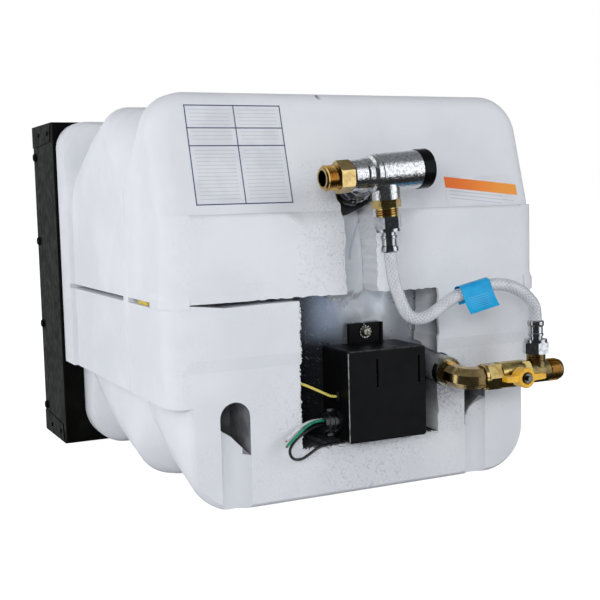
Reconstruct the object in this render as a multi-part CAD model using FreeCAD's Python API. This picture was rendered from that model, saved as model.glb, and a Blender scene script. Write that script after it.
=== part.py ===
import FreeCAD, Part
import math
import os
import random

os.makedirs("parts", exist_ok=True)

V = FreeCAD.Vector
RIGHT = V(1, 0, 0)
REAR = V(0, 1, 0)
FRONT = V(0, -1, 0)
UP = V(0, 0, 1)
DOWN = V(0, 0, -1)

# Frame: +Y is the plumbing side, -Y the pan that opens outdoors. All sizes are millimetres.
# Heights are counted from the pan's rear lower edge, and build() lifts the whole part on to Z = 0.

# Foam jacket
jacket_width = 413.0
jacket_height = 390.0
jacket_depth = 380.0
rear_face = jacket_depth / 2
seam_face = -rear_face
half_width = jacket_width / 2
parting_z = 194.0
lobe_tops = (390.0, 388.0, 384.0)
valley_y = (60.0, -145.0)
top_crests_y = (120.0, -10.0, -168.0)
foot_crests_y = (172.0, 12.0, -168.0)
top_crest_radii = (40.0, 33.0, 31.0)
foot_crest_radii = (48.0, 44.0, 44.0)
valley_radius = 100.0
valley_rise = 7.0
foot_z = -4.5
sole_trim = 0.4
foot_half_width = 189.0
crease_depth = 4.5
slope_steps = (0.2, 0.45, 0.7)
front_flare = -4.0
skirt_z = 98.0
corner_radius = 24.0
ledge_z = 275.0
ledge_depth = 8.5
lean_angle = math.radians(15.5)
lean_edge_radius = 18.0
opening_x = (-80.0, 76.0)
opening_foot = 45.0
slot_x = (-10.0, 25.0)
slot_top = 292.0
tear_pitch = 4.6
tear_bite = 1.1

# Tank
tank_radius = 180.0
tank_wall = 2.5
tank_z = parting_z
crown_radius = 400.0
knuckle_radius = 50.0
rear_apex = 152.0
front_apex = -186.0
jacket_gap = 2.0

# Pan
pan_half_width = 214.0
pan_z = (-4.5, 385.0)
pan_front = -297.0
sheet = 1.0
flange_width = 22.0
flap_height = 22.0

# Hot side: the outlet stands square on the domed tank end
hot_x = 9.0
hot_rise = 96.0
hot_lean = math.asin(hot_rise / crown_radius)
valve_tilt = math.radians(4.15)
valve_y = rear_face + 28.0

# Cold side
cold_x = -82.0
cold_z = 106.0
cold_lean = math.radians(8.0)
cold_y = rear_face + 40.0
elbow_arm = 24.0
stem_x = -137.0
valve_end = -158.0
tee_x = -170.5

# Junction box
box_x = (-54.0, 33.0)
box_z = (50.0, 140.0)
box_back = 151.2
box_front = rear_face + 16.0
box_wall = 1.8
element_x = -12.0
element_z = 95.0

thread_radius = 10.65
pipe_radius = 14.4
hose_diameter = 12.5
wire_diameter = 2.8

nodes = {}


def keep(name, shape):
    nodes[name] = shape.removeSplitter()


def block(x0, x1, y0, y1, z0, z1):
    corner = V(min(x0, x1), min(y0, y1), min(z0, z1))
    return Part.makeBox(abs(x1 - x0), abs(y1 - y0), abs(z1 - z0), corner)


def rod(radius, length, start, along):
    return Part.makeCylinder(radius, length, start, along)


def joined(first, *others):
    return first.fuse(list(others)) if others else first


def aimed(shape, start, along, spin=0.0):
    # Turns a shape built along +Z so that it starts at a point and runs along a direction.
    turned_up = FreeCAD.Rotation(UP, along)
    rolled = FreeCAD.Rotation(UP, spin)
    shape.Placement = FreeCAD.Placement(start, turned_up.multiply(rolled))
    return shape


def turned(profile, start, along):
    # Revolves (radius, height) points about the axis.
    points = [V(radius, 0, height) for radius, height in profile]
    face = Part.Face(Part.makePolygon(points + points[:1]))
    return aimed(face.revolve(V(0, 0, 0), UP, 360), start, along)


def hexagon(across_flats, length, start, along, spin=0.0, chamfer=1.2):
    # A hexagon bar whose corners are turned off at both ends.
    corner = across_flats / math.sqrt(3)
    points = [V(corner * math.cos(k * math.pi / 3), corner * math.sin(k * math.pi / 3), 0) for k in range(7)]
    bar = Part.Face(Part.makePolygon(points)).extrude(V(0, 0, length))
    cone = turned([(0, 0), (corner - chamfer, 0), (corner, chamfer * 0.58), (corner, length - chamfer * 0.58),
                   (corner - chamfer, length), (0, length)], V(0, 0, 0), UP)
    return aimed(bar.common(cone), start, along, spin)


def outline_face(points, plane_point, across, upward):
    # A polygon drawn with (across, up) pairs on a plane through a point.
    corners = [plane_point + across * a + upward * b for a, b in points]
    return Part.Face(Part.makePolygon(corners + corners[:1]))


def rounded_plate(x0, x1, z0, z1, radius, y0, y1):
    # A plate facing the rear, with round corners.
    plate = block(x0, x1, y0, y1, z0, z1)
    uprights = [edge for edge in plate.Edges if abs(edge.tangentAt(edge.FirstParameter).y) > 0.99]
    return plate.makeFillet(radius, uprights)


def half_section(width, near_z, far_z, radius, y):
    # Half of the jacket's cross-section: square at the parting line, round at the far corners.
    way = 1 if far_z > near_z else -1
    shoulder = far_z - way * radius
    inset = width - radius
    bend = radius * math.sqrt(0.5)
    left_arc = Part.Arc(V(width, y, shoulder), V(inset + bend, y, shoulder + way * bend), V(inset, y, far_z))
    right_arc = Part.Arc(V(-inset, y, far_z), V(-inset - bend, y, shoulder + way * bend),
                         V(-width, y, shoulder))
    edges = [Part.makeLine(V(-width, y, near_z), V(width, y, near_z)),
             Part.makeLine(V(width, y, near_z), V(width, y, shoulder)),
             left_arc.toShape(),
             Part.makeLine(V(inset, y, far_z), V(-inset, y, far_z)),
             right_arc.toShape(),
             Part.makeLine(V(-width, y, shoulder), V(-width, y, near_z))]
    return Part.Wire(edges)


def lobe_stations(valley_at, crest_at, valley, crest, inset, gradual):
    # Stations from a valley up to a crest, as (y, corner radius, rise, inset): a short side swells steeply
    # and eases on to the crest, a gradual side tapers evenly and rises only near the valley.
    stations = []
    for step in slope_steps:
        share = 1 - step if gradual else (1 - step) ** 2.2
        rise = valley_rise * max(0.0, 1 - 2.5 * step) if gradual else valley_rise * (1 - step)
        y = valley_at + (crest_at - valley_at) * step
        stations.append((y, crest + (valley - crest) * share, rise, inset))
    return stations


def lobed_half(width, near_z, tops, crests_y, crests, valley, front_inset, rear=rear_face):
    # Three lobes along the depth. Each swells steeply from the valley behind it to a full crest, then tapers
    # slowly to the valley in front of it, where a fine crease parts it from the next lobe.
    way = 1 if tops[0] > near_z else -1
    stations = [(rear, tops[0], crests[0], 0, 0)]
    for lobe, valley_at in enumerate(valley_y):
        inset = front_inset if lobe == 1 else 0
        ahead = lobe_stations(valley_at + 4, crests_y[lobe], valley, crests[lobe], 0, True)[::-1]
        behind = lobe_stations(valley_at - 3, crests_y[lobe + 1], valley, crests[lobe + 1], inset, False)
        stations.append((crests_y[lobe], tops[lobe], crests[lobe], 0, 0))
        stations += [(y, tops[lobe], radius, rise, side) for y, radius, rise, side in ahead]
        stations += [(valley_at + 4, tops[lobe], valley, valley_rise, 0),
                     (valley_at + 1, tops[lobe], valley, valley_rise, crease_depth),
                     (valley_at - 3, tops[lobe + 1], valley, valley_rise, inset)]
        stations += [(y, tops[lobe + 1], radius, rise, side) for y, radius, rise, side in behind]
    stations += [(y, tops[2], crests[2], 0, front_inset) for y in (crests_y[2], seam_face)]
    wires = []
    for y, top, radius, rise, inset in stations:
        depth = rise + (inset if inset == crease_depth else 0)
        wires.append(half_section(width - inset, near_z, top - way * depth, radius, y))
    return Part.makeLoft(wires, True, True)


def edges_on(shape, distance, low, high):
    # Edges that lie wholly on the plane that distance() measures, between two heights.
    found = []
    for edge in shape.Edges:
        span = edge.LastParameter - edge.FirstParameter
        spots = [edge.valueAt(edge.FirstParameter + span * k / 4) for k in range(5)]
        if max(abs(distance(spot)) for spot in spots) > 0.01:
            continue
        middle = spots[2].z
        if low < middle < high:
            found.append(edge)
    return found


def tank_cavity():
    # Room for the tank: open at the seam, domed at the rear.
    outline = domed_profile(tank_radius + jacket_gap, crown_radius + jacket_gap, knuckle_radius + jacket_gap,
                            front_apex - 60, rear_apex + jacket_gap)
    return aimed(outline.revolve(V(0, 0, 0), UP, 360), V(0, 0, tank_z), REAR)


def torn(points, seed):
    # Breaks the runs of an outline into short uneven bites, the way foam tears along a knife cut.
    dice = random.Random(seed)
    outline = []
    for (x0, z0), (x1, z1) in zip(points, points[1:] + points[:1]):
        length = math.hypot(x1 - x0, z1 - z0)
        count = max(1, int(length / tear_pitch))
        for k in range(count):
            share = (k + (dice.uniform(-0.3, 0.3) if k else 0)) / count
            bite = dice.uniform(-tear_bite, tear_bite)
            outline.append((x0 + (x1 - x0) * share + (z1 - z0) / length * bite,
                            z0 + (z1 - z0) * share - (x1 - x0) / length * bite))
    return outline


def torn_hole(points, seed, y0, y1):
    # A hole of torn outline through the rear wall.
    return outline_face(torn(points, seed), V(0, y0, 0), RIGHT, UP).extrude(V(0, y1 - y0, 0))


def valve_hole():
    # The rough hole that the hot outlet comes through, longer than it is wide, and room for its spud.
    foot, out = hot_axis()
    radius, low, high = 21.5, V(6, 0, 292), V(8, 0, 301)
    outline = [(high.x + radius * math.cos(turn), high.z + radius * math.sin(turn))
               for turn in (math.pi * k / 10 for k in range(11))]
    outline += [(low.x - radius * math.cos(turn), low.z - radius * math.sin(turn))
                for turn in (math.pi * k / 10 for k in range(11))]
    return joined(torn_hole(outline, 3, rear_face - 45, rear_face + 15), rod(20.5, 30, foot - out * 16, out))


def nipple_hole():
    # Where the foam is cut away round the cold inlet's spud and nipple.
    foot, out = cold_axis()
    return joined(rod(18.5, 34, foot - out * 16, out), rod(pipe_radius + 1.2, 70, foot, out))


def lean_y(z):
    # Rear face above the ledge, leaning forward.
    return rear_face - ledge_depth - (z - ledge_z) * math.tan(lean_angle)


def brow_section(x, share):
    # One section of the ledge's rounding: a small round at share 0, a tall soft ramp at share 1.
    soft, ramp = 4.2, 30.0
    depth = soft + (ledge_depth + 0.2 - soft) * share
    drop = soft + (ramp - soft) * share
    bend = math.sqrt(0.5)
    top, out = ledge_z + 1, rear_face + 1
    start, foot = V(x, rear_face - depth, ledge_z), V(x, rear_face, ledge_z - drop)
    middle = V(x, rear_face - depth * (1 - bend), ledge_z - drop * (1 - bend))
    corners = [foot, V(x, out, foot.z), V(x, out, top), V(x, start.y, top), start]
    edges = [Part.makeLine(a, b) for a, b in zip(corners, corners[1:])]
    return Part.Wire(edges + [Part.Arc(start, middle, foot).toShape()])


def ledge_brow():
    # The ledge's edge is softly rounded, and behind the valve it runs out into a gentle ramp.
    half_brow, fade = 183.0, 24.0
    left, right = 88.0, -64.0
    steps = [k / 6 for k in range(7)]
    eased = [step * step * (3 - 2 * step) for step in steps]
    sections = [(half_brow, 0.0)]
    sections += [(left - fade * step, share) for step, share in zip(steps, eased)]
    sections += [(right + fade * step, share) for step, share in zip(steps[::-1], eased[::-1])]
    sections.append((-half_brow, 0.0))
    return Part.makeLoft([brow_section(x, share) for x, share in sections], True, True)


def upper_jacket():
    above = jacket_height + 10
    body = lobed_half(half_width, parting_z, lobe_tops, top_crests_y, top_crest_radii, valley_radius,
                      front_flare)
    low_part = body.common(block(-300, 300, -300, 300, parting_z, ledge_z))
    upright = edges_on(low_part, lambda p: p.y - rear_face, parting_z + 1, ledge_z - 1)
    corners = [edge for edge in upright if abs(edge.CenterOfMass.x) > 200]
    low_part = low_part.makeFillet(corner_radius, corners)
    long_body = lobed_half(half_width, parting_z, lobe_tops, top_crests_y, top_crest_radii, valley_radius,
                           front_flare, rear_face + 40)
    lean = [(lean_y(parting_z - 1), parting_z - 1), (rear_face + 50, parting_z - 1), (rear_face + 50, above),
            (lean_y(above), above)]
    wedge = outline_face(lean, V(-300, 0, 0), REAR, UP).extrude(V(600, 0, 0))
    long_body = long_body.cut(wedge)
    rim = edges_on(long_body, lambda p: p.y - lean_y(p.z), parting_z + 1, above)
    long_body = long_body.makeFillet(lean_edge_radius, rim)
    high_part = long_body.common(block(-300, 300, -300, 300, ledge_z, above))
    shell = joined(low_part, high_part)
    nick = rod(2.6, 30, V(29, lean_y(383) - 15, 386), REAR)
    slot_outline = [(slot_x[0], parting_z - 20), (slot_x[1], parting_z - 20), (slot_x[1], slot_top),
                    (slot_x[0], slot_top)]
    slot = torn_hole(slot_outline, 5, 90, rear_face + 5)
    edge = parting_z + 0.2
    lip_outline = [(opening_x[0], edge), (opening_x[0], parting_z - 20), (half_width - 19, parting_z - 20),
                   (half_width - 19, edge - tear_bite), (opening_x[1], edge)]
    lip = torn_hole(lip_outline, 8, 90, rear_face + 5)
    return shell.cut([ledge_brow(), tank_cavity(), valve_hole(), slot, lip, nick])


def upright_edges(shape, rear_only=False):
    found = [edge for edge in shape.Edges if abs(edge.tangentAt(edge.FirstParameter).z) > 0.99]
    return [edge for edge in found if edge.CenterOfMass.y > 150] if rear_only else found


def corner_lips():
    # The upper half laps the lower one round each rear corner, its top edge bevelled.
    proud, bevel, reach = 2.2, 5.0, 46.0
    lips = []
    for side, low in ((1, parting_z - 4.0), (-1, parting_z - 8.0)):
        high = parting_z + 9.0
        outer = block(-half_width - proud, half_width + proud, 100, rear_face + proud, low, high)
        outer = outer.makeFillet(corner_radius + proud, upright_edges(outer, True))
        rim = [edge for edge in outer.Edges
               if abs(edge.BoundBox.ZMin - high) < 0.01 and edge.CenterOfMass.y > 101]
        outer = outer.makeChamfer(bevel, proud * 0.9, rim)
        inner = block(-half_width, half_width, 90, rear_face, low - 1, high + 1)
        inner = inner.makeFillet(corner_radius, upright_edges(inner, True))
        corner = block(side * (half_width - 20), side * 300, rear_face - reach, 300, low, high)
        lips.append(outer.cut(inner).common(corner))
    return lips


def arch(x0, x1, top):
    # A pipe groove up the rear face that ends in an arched hole into the tank space.
    radius = (x1 - x0) / 2
    middle = (x0 + x1) / 2
    groove = rod(radius, top - radius + 60, V(middle, rear_face, -60), UP)
    mouth = rod(radius, 60, V(middle, rear_face - 55, top - radius), REAR)
    outer = x1 if middle > 0 else x0
    inner = x0 if middle > 0 else x1
    sill = [(inner, 48), (inner, top - radius), (outer, top - radius), (outer, 75), (middle, 65)]
    hole = outline_face(sill, V(0, rear_face - 55, 0), RIGHT, UP).extrude(V(0, 60, 0))
    return joined(groove, mouth, hole)


def parting_slots():
    # Open stretches of the parting line, closed at the corners and at the ribs.
    low, high = parting_z - 5.0, parting_z
    near, far = opening_x[1] - 5, half_width - 19
    gap = [(near, high), (near, high - 3.2), (near + 40, high - 3.6), (far - 36, low), (far, high - 0.8),
           (far, high)]
    slots = [outline_face(gap, V(0, rear_face - 40, 0), RIGHT, UP).extrude(V(0, 45, 0))]
    for side in (1, -1):
        inner = side * (half_width - 40)
        outer = side * (half_width + 5)
        slots.append(block(inner, outer, valley_y[0] + 8, rear_face - 46, low, high))
        slots.append(block(inner, outer, valley_y[1] - 8, valley_y[0] - 8, low, high))
    return slots


def lower_jacket():
    # The lobes are moulded a little deep and trimmed flat, so that the heater stands on level soles.
    bottoms = (foot_z - sole_trim,) * 3
    foot = lobed_half(foot_half_width, parting_z, bottoms, foot_crests_y, foot_crest_radii, valley_radius,
                      0.0)
    skirt = lobed_half(half_width, parting_z, bottoms, top_crests_y, foot_crest_radii, foot_crest_radii[0],
                       front_flare)
    skirt = skirt.common(block(-300, 300, -300, 300, skirt_z, parting_z))
    upright = edges_on(foot, lambda p: p.y - rear_face, foot_z + 1, parting_z - 1)
    foot = foot.makeFillet(14, upright)
    upright = edges_on(skirt, lambda p: p.y - rear_face, skirt_z + 1, parting_z - 1)
    upright = [edge for edge in upright if abs(edge.CenterOfMass.x) > half_width - 1]
    skirt = skirt.makeFillet(corner_radius, upright)
    shell = joined(foot, skirt)
    below = foot_z - 5
    step = [(rear_face + 5, 142), (rear_face, 142), (rear_face - 3, 130), (rear_face - 3, below),
            (rear_face + 5, below)]
    shave = outline_face(step, V(-300, 0, 0), REAR, UP).extrude(V(600, 0, 0))
    left, right = opening_x
    window_outline = [(left, opening_foot), (right, opening_foot), (right, parting_z + 20),
                      (left, parting_z + 20)]
    window = torn_hole(window_outline, 11, 60, rear_face + 5)
    wire_hole = rod(wire_diameter / 2 + 0.6, 40, V(opening_x[1] - 1, rear_face - 14, 111), RIGHT)
    trim = block(-300, 300, -300, 300, below - 5, foot_z)
    cuts = [shave, trim, tank_cavity(), window, nipple_hole(), wire_hole]
    cuts += [arch(128.5, 158.8, 100), arch(-138, -112, 96)]
    return shell.cut(cuts + parting_slots() + corner_lips())


def domed_profile(radius, crown, knuckle, front, back):
    # Outline of a round vessel with dished ends, as (radius, height) lines and arcs from end to end.
    turn = math.asin((radius - knuckle) / (crown - knuckle))
    half_turn = (turn + math.pi / 2) / 2
    depth = crown - (crown - knuckle) * math.cos(turn)

    def end(apex, way):
        crown_centre = apex - way * crown
        knuckle_centre = apex - way * depth
        first = V(0, 0, apex)
        crown_middle = V(crown * math.sin(turn / 2), 0, crown_centre + way * crown * math.cos(turn / 2))
        meet = V(crown * math.sin(turn), 0, crown_centre + way * crown * math.cos(turn))
        bend = V(radius - knuckle + knuckle * math.sin(half_turn), 0,
                 knuckle_centre + way * knuckle * math.cos(half_turn))
        last = V(radius, 0, knuckle_centre)
        return Part.Arc(first, crown_middle, meet), Part.Arc(meet, bend, last), last

    crown_a, knuckle_a, side_a = end(front, -1)
    crown_b, knuckle_b, side_b = end(back, 1)
    edges = [crown_a.toShape(), knuckle_a.toShape(), Part.makeLine(side_a, side_b), knuckle_b.toShape(),
             crown_b.toShape(), Part.makeLine(V(0, 0, back), V(0, 0, front))]
    return Part.Face(Part.Wire(Part.__sortEdges__(edges)))


def hot_axis():
    # Where the hot outlet leaves the tank and which way it points.
    reach = math.sqrt(crown_radius ** 2 - hot_rise ** 2)
    foot = V(hot_x, rear_apex - crown_radius + reach, tank_z + hot_rise)
    return foot, V(0, math.cos(hot_lean), math.sin(hot_lean))


def dome_y(x, z):
    # Rear face of the tank at a point of its crown.
    return rear_apex - crown_radius + math.sqrt(crown_radius ** 2 - x ** 2 - (z - tank_z) ** 2)


def cold_axis():
    # Where the cold inlet leaves the tank and which way it points: outward and a little down.
    out = V(0, math.cos(cold_lean), -math.sin(cold_lean))
    corner = V(cold_x, cold_y, cold_z)
    rough = corner - out * ((cold_y - dome_y(cold_x, cold_z)) / out.y)
    return corner - out * ((cold_y - dome_y(cold_x, rough.z)) / out.y), out


def tank():
    outer = domed_profile(tank_radius, crown_radius, knuckle_radius, front_apex, rear_apex)
    inner = domed_profile(tank_radius - tank_wall, crown_radius - tank_wall, knuckle_radius - tank_wall,
                          front_apex + tank_wall, rear_apex - tank_wall)
    centre = V(0, 0, tank_z)
    shell = aimed(outer.revolve(V(0, 0, 0), UP, 360), centre, REAR)
    hollow = aimed(inner.revolve(V(0, 0, 0), UP, 360), centre, REAR)
    middle_seam = rod(tank_radius + 1.2, 8, V(0, -20, tank_z), REAR)
    foot, out = hot_axis()
    hot_spud = rod(19, 22, foot - out * 12, out)
    cold_foot, cold_out = cold_axis()
    cold_spud = rod(17, 26, cold_foot - cold_out * 14, cold_out)
    pad = rod(34, box_back - 2 - 118, V(element_x, 118, element_z), REAR)
    tab_boss = rod(8, box_back - 130, V(-15, 130, 151), REAR)
    relief_spud = rod(19, 20, V(relief_x, front_apex + 26, relief_z), FRONT)
    drain_spud = rod(16, 20, V(drain_x, front_apex + 34, drain_z), FRONT)
    stat_boss = rod(7, 12, V(stat_x, front_apex + 10, stat_z), FRONT)
    shell = joined(shell, middle_seam, hot_spud, cold_spud, pad, tab_boss, relief_spud, drain_spud, stat_boss)
    bores = [rod(thread_radius + 0.05, 60, foot - out * 30, out),
             rod(thread_radius + 0.05, 60, cold_foot - cold_out * 30, cold_out),
             rod(16.05, 60, V(element_x, 100, element_z), REAR),
             rod(2.05, 16, V(-15, box_back - 14, 151), REAR),
             rod(thread_radius + 0.05, 60, V(relief_x, front_apex + 50, relief_z), FRONT),
             rod(9.05, 60, V(drain_x, front_apex + 50, drain_z), FRONT),
             rod(1.65, 10, V(stat_x, front_apex + 7, stat_z), FRONT)]
    for z in flue_z:
        bores.append(rod(flue_radius + 0.05, 80, V(flue_x, front_apex + 70, z), FRONT))
    return shell.cut([hollow] + bores)


flue_x = -80.0
flue_z = (104.0, 284.0)
flue_radius = 36.0
flue_wall = 1.5
relief_x, relief_z = 92.0, 262.0
drain_x, drain_z = 30.0, 40.0
stat_x, stat_z = 20.0, 190.0


def flue_tube():
    # One tube in at the burner, round a half turn at the rear and out at the exhaust box.
    low, high = flue_z
    mouth, turn_y = front_apex - 2, -20.0
    lift = (high - low) / 2
    path = Part.Wire([Part.makeLine(V(flue_x, mouth, low), V(flue_x, turn_y, low)),
                      Part.Arc(V(flue_x, turn_y, low), V(flue_x, turn_y + lift, low + lift),
                               V(flue_x, turn_y, high)).toShape(),
                      Part.makeLine(V(flue_x, turn_y, high), V(flue_x, mouth, high))])
    skins = []
    for radius in (flue_radius, flue_radius - flue_wall):
        ring = Part.Wire(Part.makeCircle(radius, V(flue_x, mouth, low), REAR))
        skins.append(path.makePipeShell([ring], True, False))
    return skins[0].cut(skins[1])


def flange_cuts(side):
    # Bend-line slots and screw bosses of one side of the pan.
    slot_length, bridge, count = 29.0, 3.6, 11
    line_y = pan_front + flange_width
    start = (pan_z[0] + pan_z[1] - count * slot_length - (count - 1) * bridge) / 2
    x0, x1 = side * (pan_half_width - 3), side * (pan_half_width + 3)
    return [block(x0, x1, line_y - 0.6, line_y + 0.6, start + k * (slot_length + bridge),
                  start + k * (slot_length + bridge) + slot_length) for k in range(count)]


screw_heights = (29.0, 135.0, 241.0, 347.0)


def pan_body():
    # Back panel and both sides in one folded sheet.
    low, high = pan_z
    outer = block(-pan_half_width, pan_half_width, pan_front, seam_face, low + sheet, high - sheet)
    uprights = upright_edges(outer)
    outer = outer.makeFillet(3, [edge for edge in uprights if edge.CenterOfMass.y > seam_face - 5])
    inner = block(-pan_half_width + sheet, pan_half_width - sheet, pan_front - 5, seam_face - sheet, low,
                  high)
    uprights = upright_edges(inner)
    inner = inner.makeFillet(2, [edge for edge in uprights if edge.CenterOfMass.y > seam_face - 5])
    shell = outer.cut(inner)
    cuts = []
    strip_y = pan_front + 10
    for side in (1, -1):
        cuts += flange_cuts(side)
        for z in screw_heights:
            boss = turned([(2.4, 0), (6.2, 0), (4.2, 3.2), (2.4, 3.2)],
                          V(side * (pan_half_width - 0.2), strip_y, z), RIGHT * side)
            shell = shell.fuse(boss)
            cuts.append(rod(2.4, 10, V(side * (pan_half_width - 5), strip_y, z), RIGHT * side))
    for z in flue_z:
        cuts.append(rod(flue_radius + 0.5, 20, V(flue_x, seam_face + 10, z), FRONT))
    cuts.append(rod(20, 20, V(relief_x, seam_face + 10, relief_z), FRONT))
    cuts.append(rod(17, 20, V(drain_x, seam_face + 10, drain_z), FRONT))
    cuts.append(rod(8, 20, V(stat_x, seam_face + 10, stat_z), FRONT))
    cuts.append(rod(11, 20, V(170, seam_face + 10, 60), FRONT))
    return shell.cut(cuts)


def pan_end(z, way):
    # Top or bottom panel, with a riveted flap folded over each side.
    plate = block(-pan_half_width - sheet, pan_half_width + sheet, pan_front, seam_face - 1, z, z + sheet)
    edge_z = z + sheet if way > 0 else z
    for side in (1, -1):
        x = side * (pan_half_width + 0.02)
        low_z, lip_z = edge_z - way * (flap_height + 4), edge_z - way * flap_height
        flap = [(seam_face - 8, edge_z), (pan_front, edge_z), (pan_front, low_z), (pan_front + 14, low_z),
                (seam_face - 14, lip_z)]
        slot = block(side * (pan_half_width - 3), side * (pan_half_width + 3), pan_front + flange_width - 0.6,
                     pan_front + flange_width + 0.6, edge_z - way * 8, edge_z - way * (flap_height + 8))
        side_piece = outline_face(flap, V(x, 0, 0), REAR, UP).extrude(RIGHT * (side * (sheet - 0.02)))
        plate = plate.fuse(side_piece).cut(slot)
    bend = []
    slot_length, bridge, count = 29.0, 3.6, 12
    start = -(count * slot_length + (count - 1) * bridge) / 2
    for k in range(count):
        x0 = start + k * (slot_length + bridge)
        bend.append(block(x0, x0 + slot_length, pan_front + flange_width - 0.6,
                          pan_front + flange_width + 0.6, z - 2, z + 3))
    return plate.cut(bend)


def pan_rivets():
    rivets = []
    for side in (1, -1):
        for z in (pan_z[0] + 12.0, pan_z[1] - 12.0):
            for y in (seam_face - 24, pan_front + 36):
                head = turned([(0, 0), (3.2, 0), (2.6, 1.1), (1.2, 1.6), (0, 1.7)],
                              V(side * (pan_half_width + sheet), y, z), RIGHT * side)
                rivets.append(head)
    return Part.makeCompound(rivets)


def valve_frame():
    # Mixing valve: centre on the hot port, main axis toward the cap, cold branch axis.
    foot, out = hot_axis()
    centre = foot + out * ((valve_y - foot.y) / out.y)
    main = V(-math.cos(valve_tilt), 0, math.sin(valve_tilt))
    branch = V(-math.sin(valve_tilt), 0, -math.cos(valve_tilt))
    return centre, main, branch, out


branch_offset = 12.0


def mixing_valve():
    centre, main, branch, out = valve_frame()
    begin = centre - main * 25
    barrel = turned([(0, 0), (14.2, 0), (14.8, 0.8), (14.8, 13), (15.4, 15), (15.4, 20), (17.6, 22),
                     (18.0, 23), (18.0, 27.5), (18.5, 28.5), (18.5, 71.6), (0, 71.6)], begin, main)
    hot_port = rod(13.2, 30, centre, -out)
    hot_collar = rod(15.0, 5, centre - out * 25, -out)
    boss_start = centre + main * branch_offset
    boss = rod(14.3, 25.6, boss_start, branch)
    body = joined(barrel, hot_port, hot_collar, boss)
    bores = [rod(thread_radius + 0.05, 14, begin, main),
             rod(thread_radius + 0.05, 12, boss_start + branch * 14, branch),
             rod(9.0, 24, centre - out * 8, -out)]
    return body.cut(bores)


def mixing_cap():
    centre, main, branch, out = valve_frame()
    start = centre + main * 46.65
    return turned([(0, 0), (18.9, 0), (19.1, 0.4), (19.1, 11.2), (18.4, 12.8), (17.0, 13.8), (0, 14.2)],
                  start, main)


def union_nut():
    # Ring nut that draws the valve on to the tank outlet.
    centre, main, branch, out = valve_frame()
    start = centre - out * 44
    nut = turned([(12.6, 0), (18.6, 0), (18.6, 3), (17.4, 4.2), (17.4, 12), (16.2, 13.6), (13.3, 13.6),
                  (13.3, 9), (12.6, 9)], start, out)
    grips = [rod(1.6, 7.2, start + out * 4.4, out) for _ in range(12)]
    across = V(1, 0, 0)
    around = out.cross(across)
    for index, grip in enumerate(grips):
        angle = index * math.pi / 6
        grip.translate(across * (17.2 * math.cos(angle)) + around * (17.2 * math.sin(angle)))
    return joined(nut, *grips)


def hot_outlet():
    # Short nipple from the tank spud into the union nut.
    foot, out = hot_axis()
    centre = valve_frame()[0]
    reach = (centre - foot).Length - 30.2
    bore = rod(7.8, reach + 30, foot - out * 20, out)
    return rod(thread_radius, reach + 10, foot - out * 10, out).cut(bore)


def mixed_outlet():
    centre, main, branch, out = valve_frame()
    thread = turned([(7.8, 0), (10.0, 0), (thread_radius, 2.4), (thread_radius, 14.2), (7.8, 14.2)],
                    centre - main * 53.6, main)
    collar = hexagon(27.0, 14.2, centre - main * 39.6, main, 8)
    collar = collar.cut(rod(7.8, 30, centre - main * 45, main))
    tail = rod(thread_radius, 10, centre - main * 25.4, main).cut(rod(7.8, 30, centre - main * 30, main))
    return joined(thread, collar, tail)


def branch_point(distance):
    centre, main, branch, out = valve_frame()
    return centre + main * branch_offset + branch * distance


def branch_adapter():
    branch = valve_frame()[2]
    tail = rod(thread_radius, 9, branch_point(17), branch)
    collar = hexagon(25.0, 7.6, branch_point(25.8), branch, 20)
    thread = rod(10.3, 14, branch_point(33), branch)
    return joined(tail, collar, thread).cut(rod(6.5, 60, branch_point(10), branch))


def hose_nut(start, along, spin):
    # Swivel nut with a round collar on its hose side.
    body = hexagon(23.5, 11.6, start, along, spin)
    collar = rod(11.6, 3.2, start + along * 11.4, along)
    seat = rod(10.35, 8.6, start - along * 1, along)
    return joined(body, collar).cut([seat, rod(6.9, 30, start - along * 1, along)])


ferrule_length = 18.4
upper_ferrule = 57.0
lower_ferrule = 33.5


def hose_ferrule(start, along):
    # Crimped sleeve: tail ring, neck and flared mouth.
    return turned([(4.2, -6.0), (6.8, -6.0), (6.8, 2.6), (7.8, 3.0), (7.8, 5.4), (7.2, 6.0), (7.2, 12.4),
                   (8.0, 13.2), (8.4, 14.4), (8.4, 17.6), (7.6, ferrule_length), (4.2, ferrule_length)],
                  start, along)


def route_wire(name, points, diameter):
    # Straight runs joined by tangent arcs, as large as the two runs allow.
    corners = [V(*point) for point in points]
    edges = []
    radii = []
    start = corners[0]
    for before, corner, after in zip(corners, corners[1:], corners[2:]):
        arriving = corner - before
        leaving = after - corner
        turn = arriving.getAngle(leaving)
        setback = 0.45 * min(arriving.Length, leaving.Length)
        radius = setback / math.tan(turn / 2)
        radii.append(round(radius / diameter, 1))
        arriving.normalize()
        leaving.normalize()
        inward = leaving - arriving
        inward.normalize()
        centre = corner + inward * (radius / math.cos(turn / 2))
        entry = corner - arriving * setback
        edges.append(Part.makeLine(start, entry))
        edges.append(Part.Arc(entry, centre - inward * radius, corner + leaving * setback).toShape())
        start = corner + leaving * setback
    edges.append(Part.makeLine(start, corners[-1]))
    path = Part.Wire(edges)
    print(name, "length", round(path.Length, 1), "bend radii in diameters", radii)
    return path


def cord(name, points, diameter):
    path = route_wire(name, points, diameter)
    first = V(*points[0])
    along = V(*points[1]) - first
    ring = Part.Wire(Part.makeCircle(diameter / 2, first, along))
    solid = path.makePipeShell([ring], True, False)
    section = math.pi * diameter ** 2 / 4
    print(name, "volume over section times length", round(solid.Volume / (section * path.Length), 4))
    return solid


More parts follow.
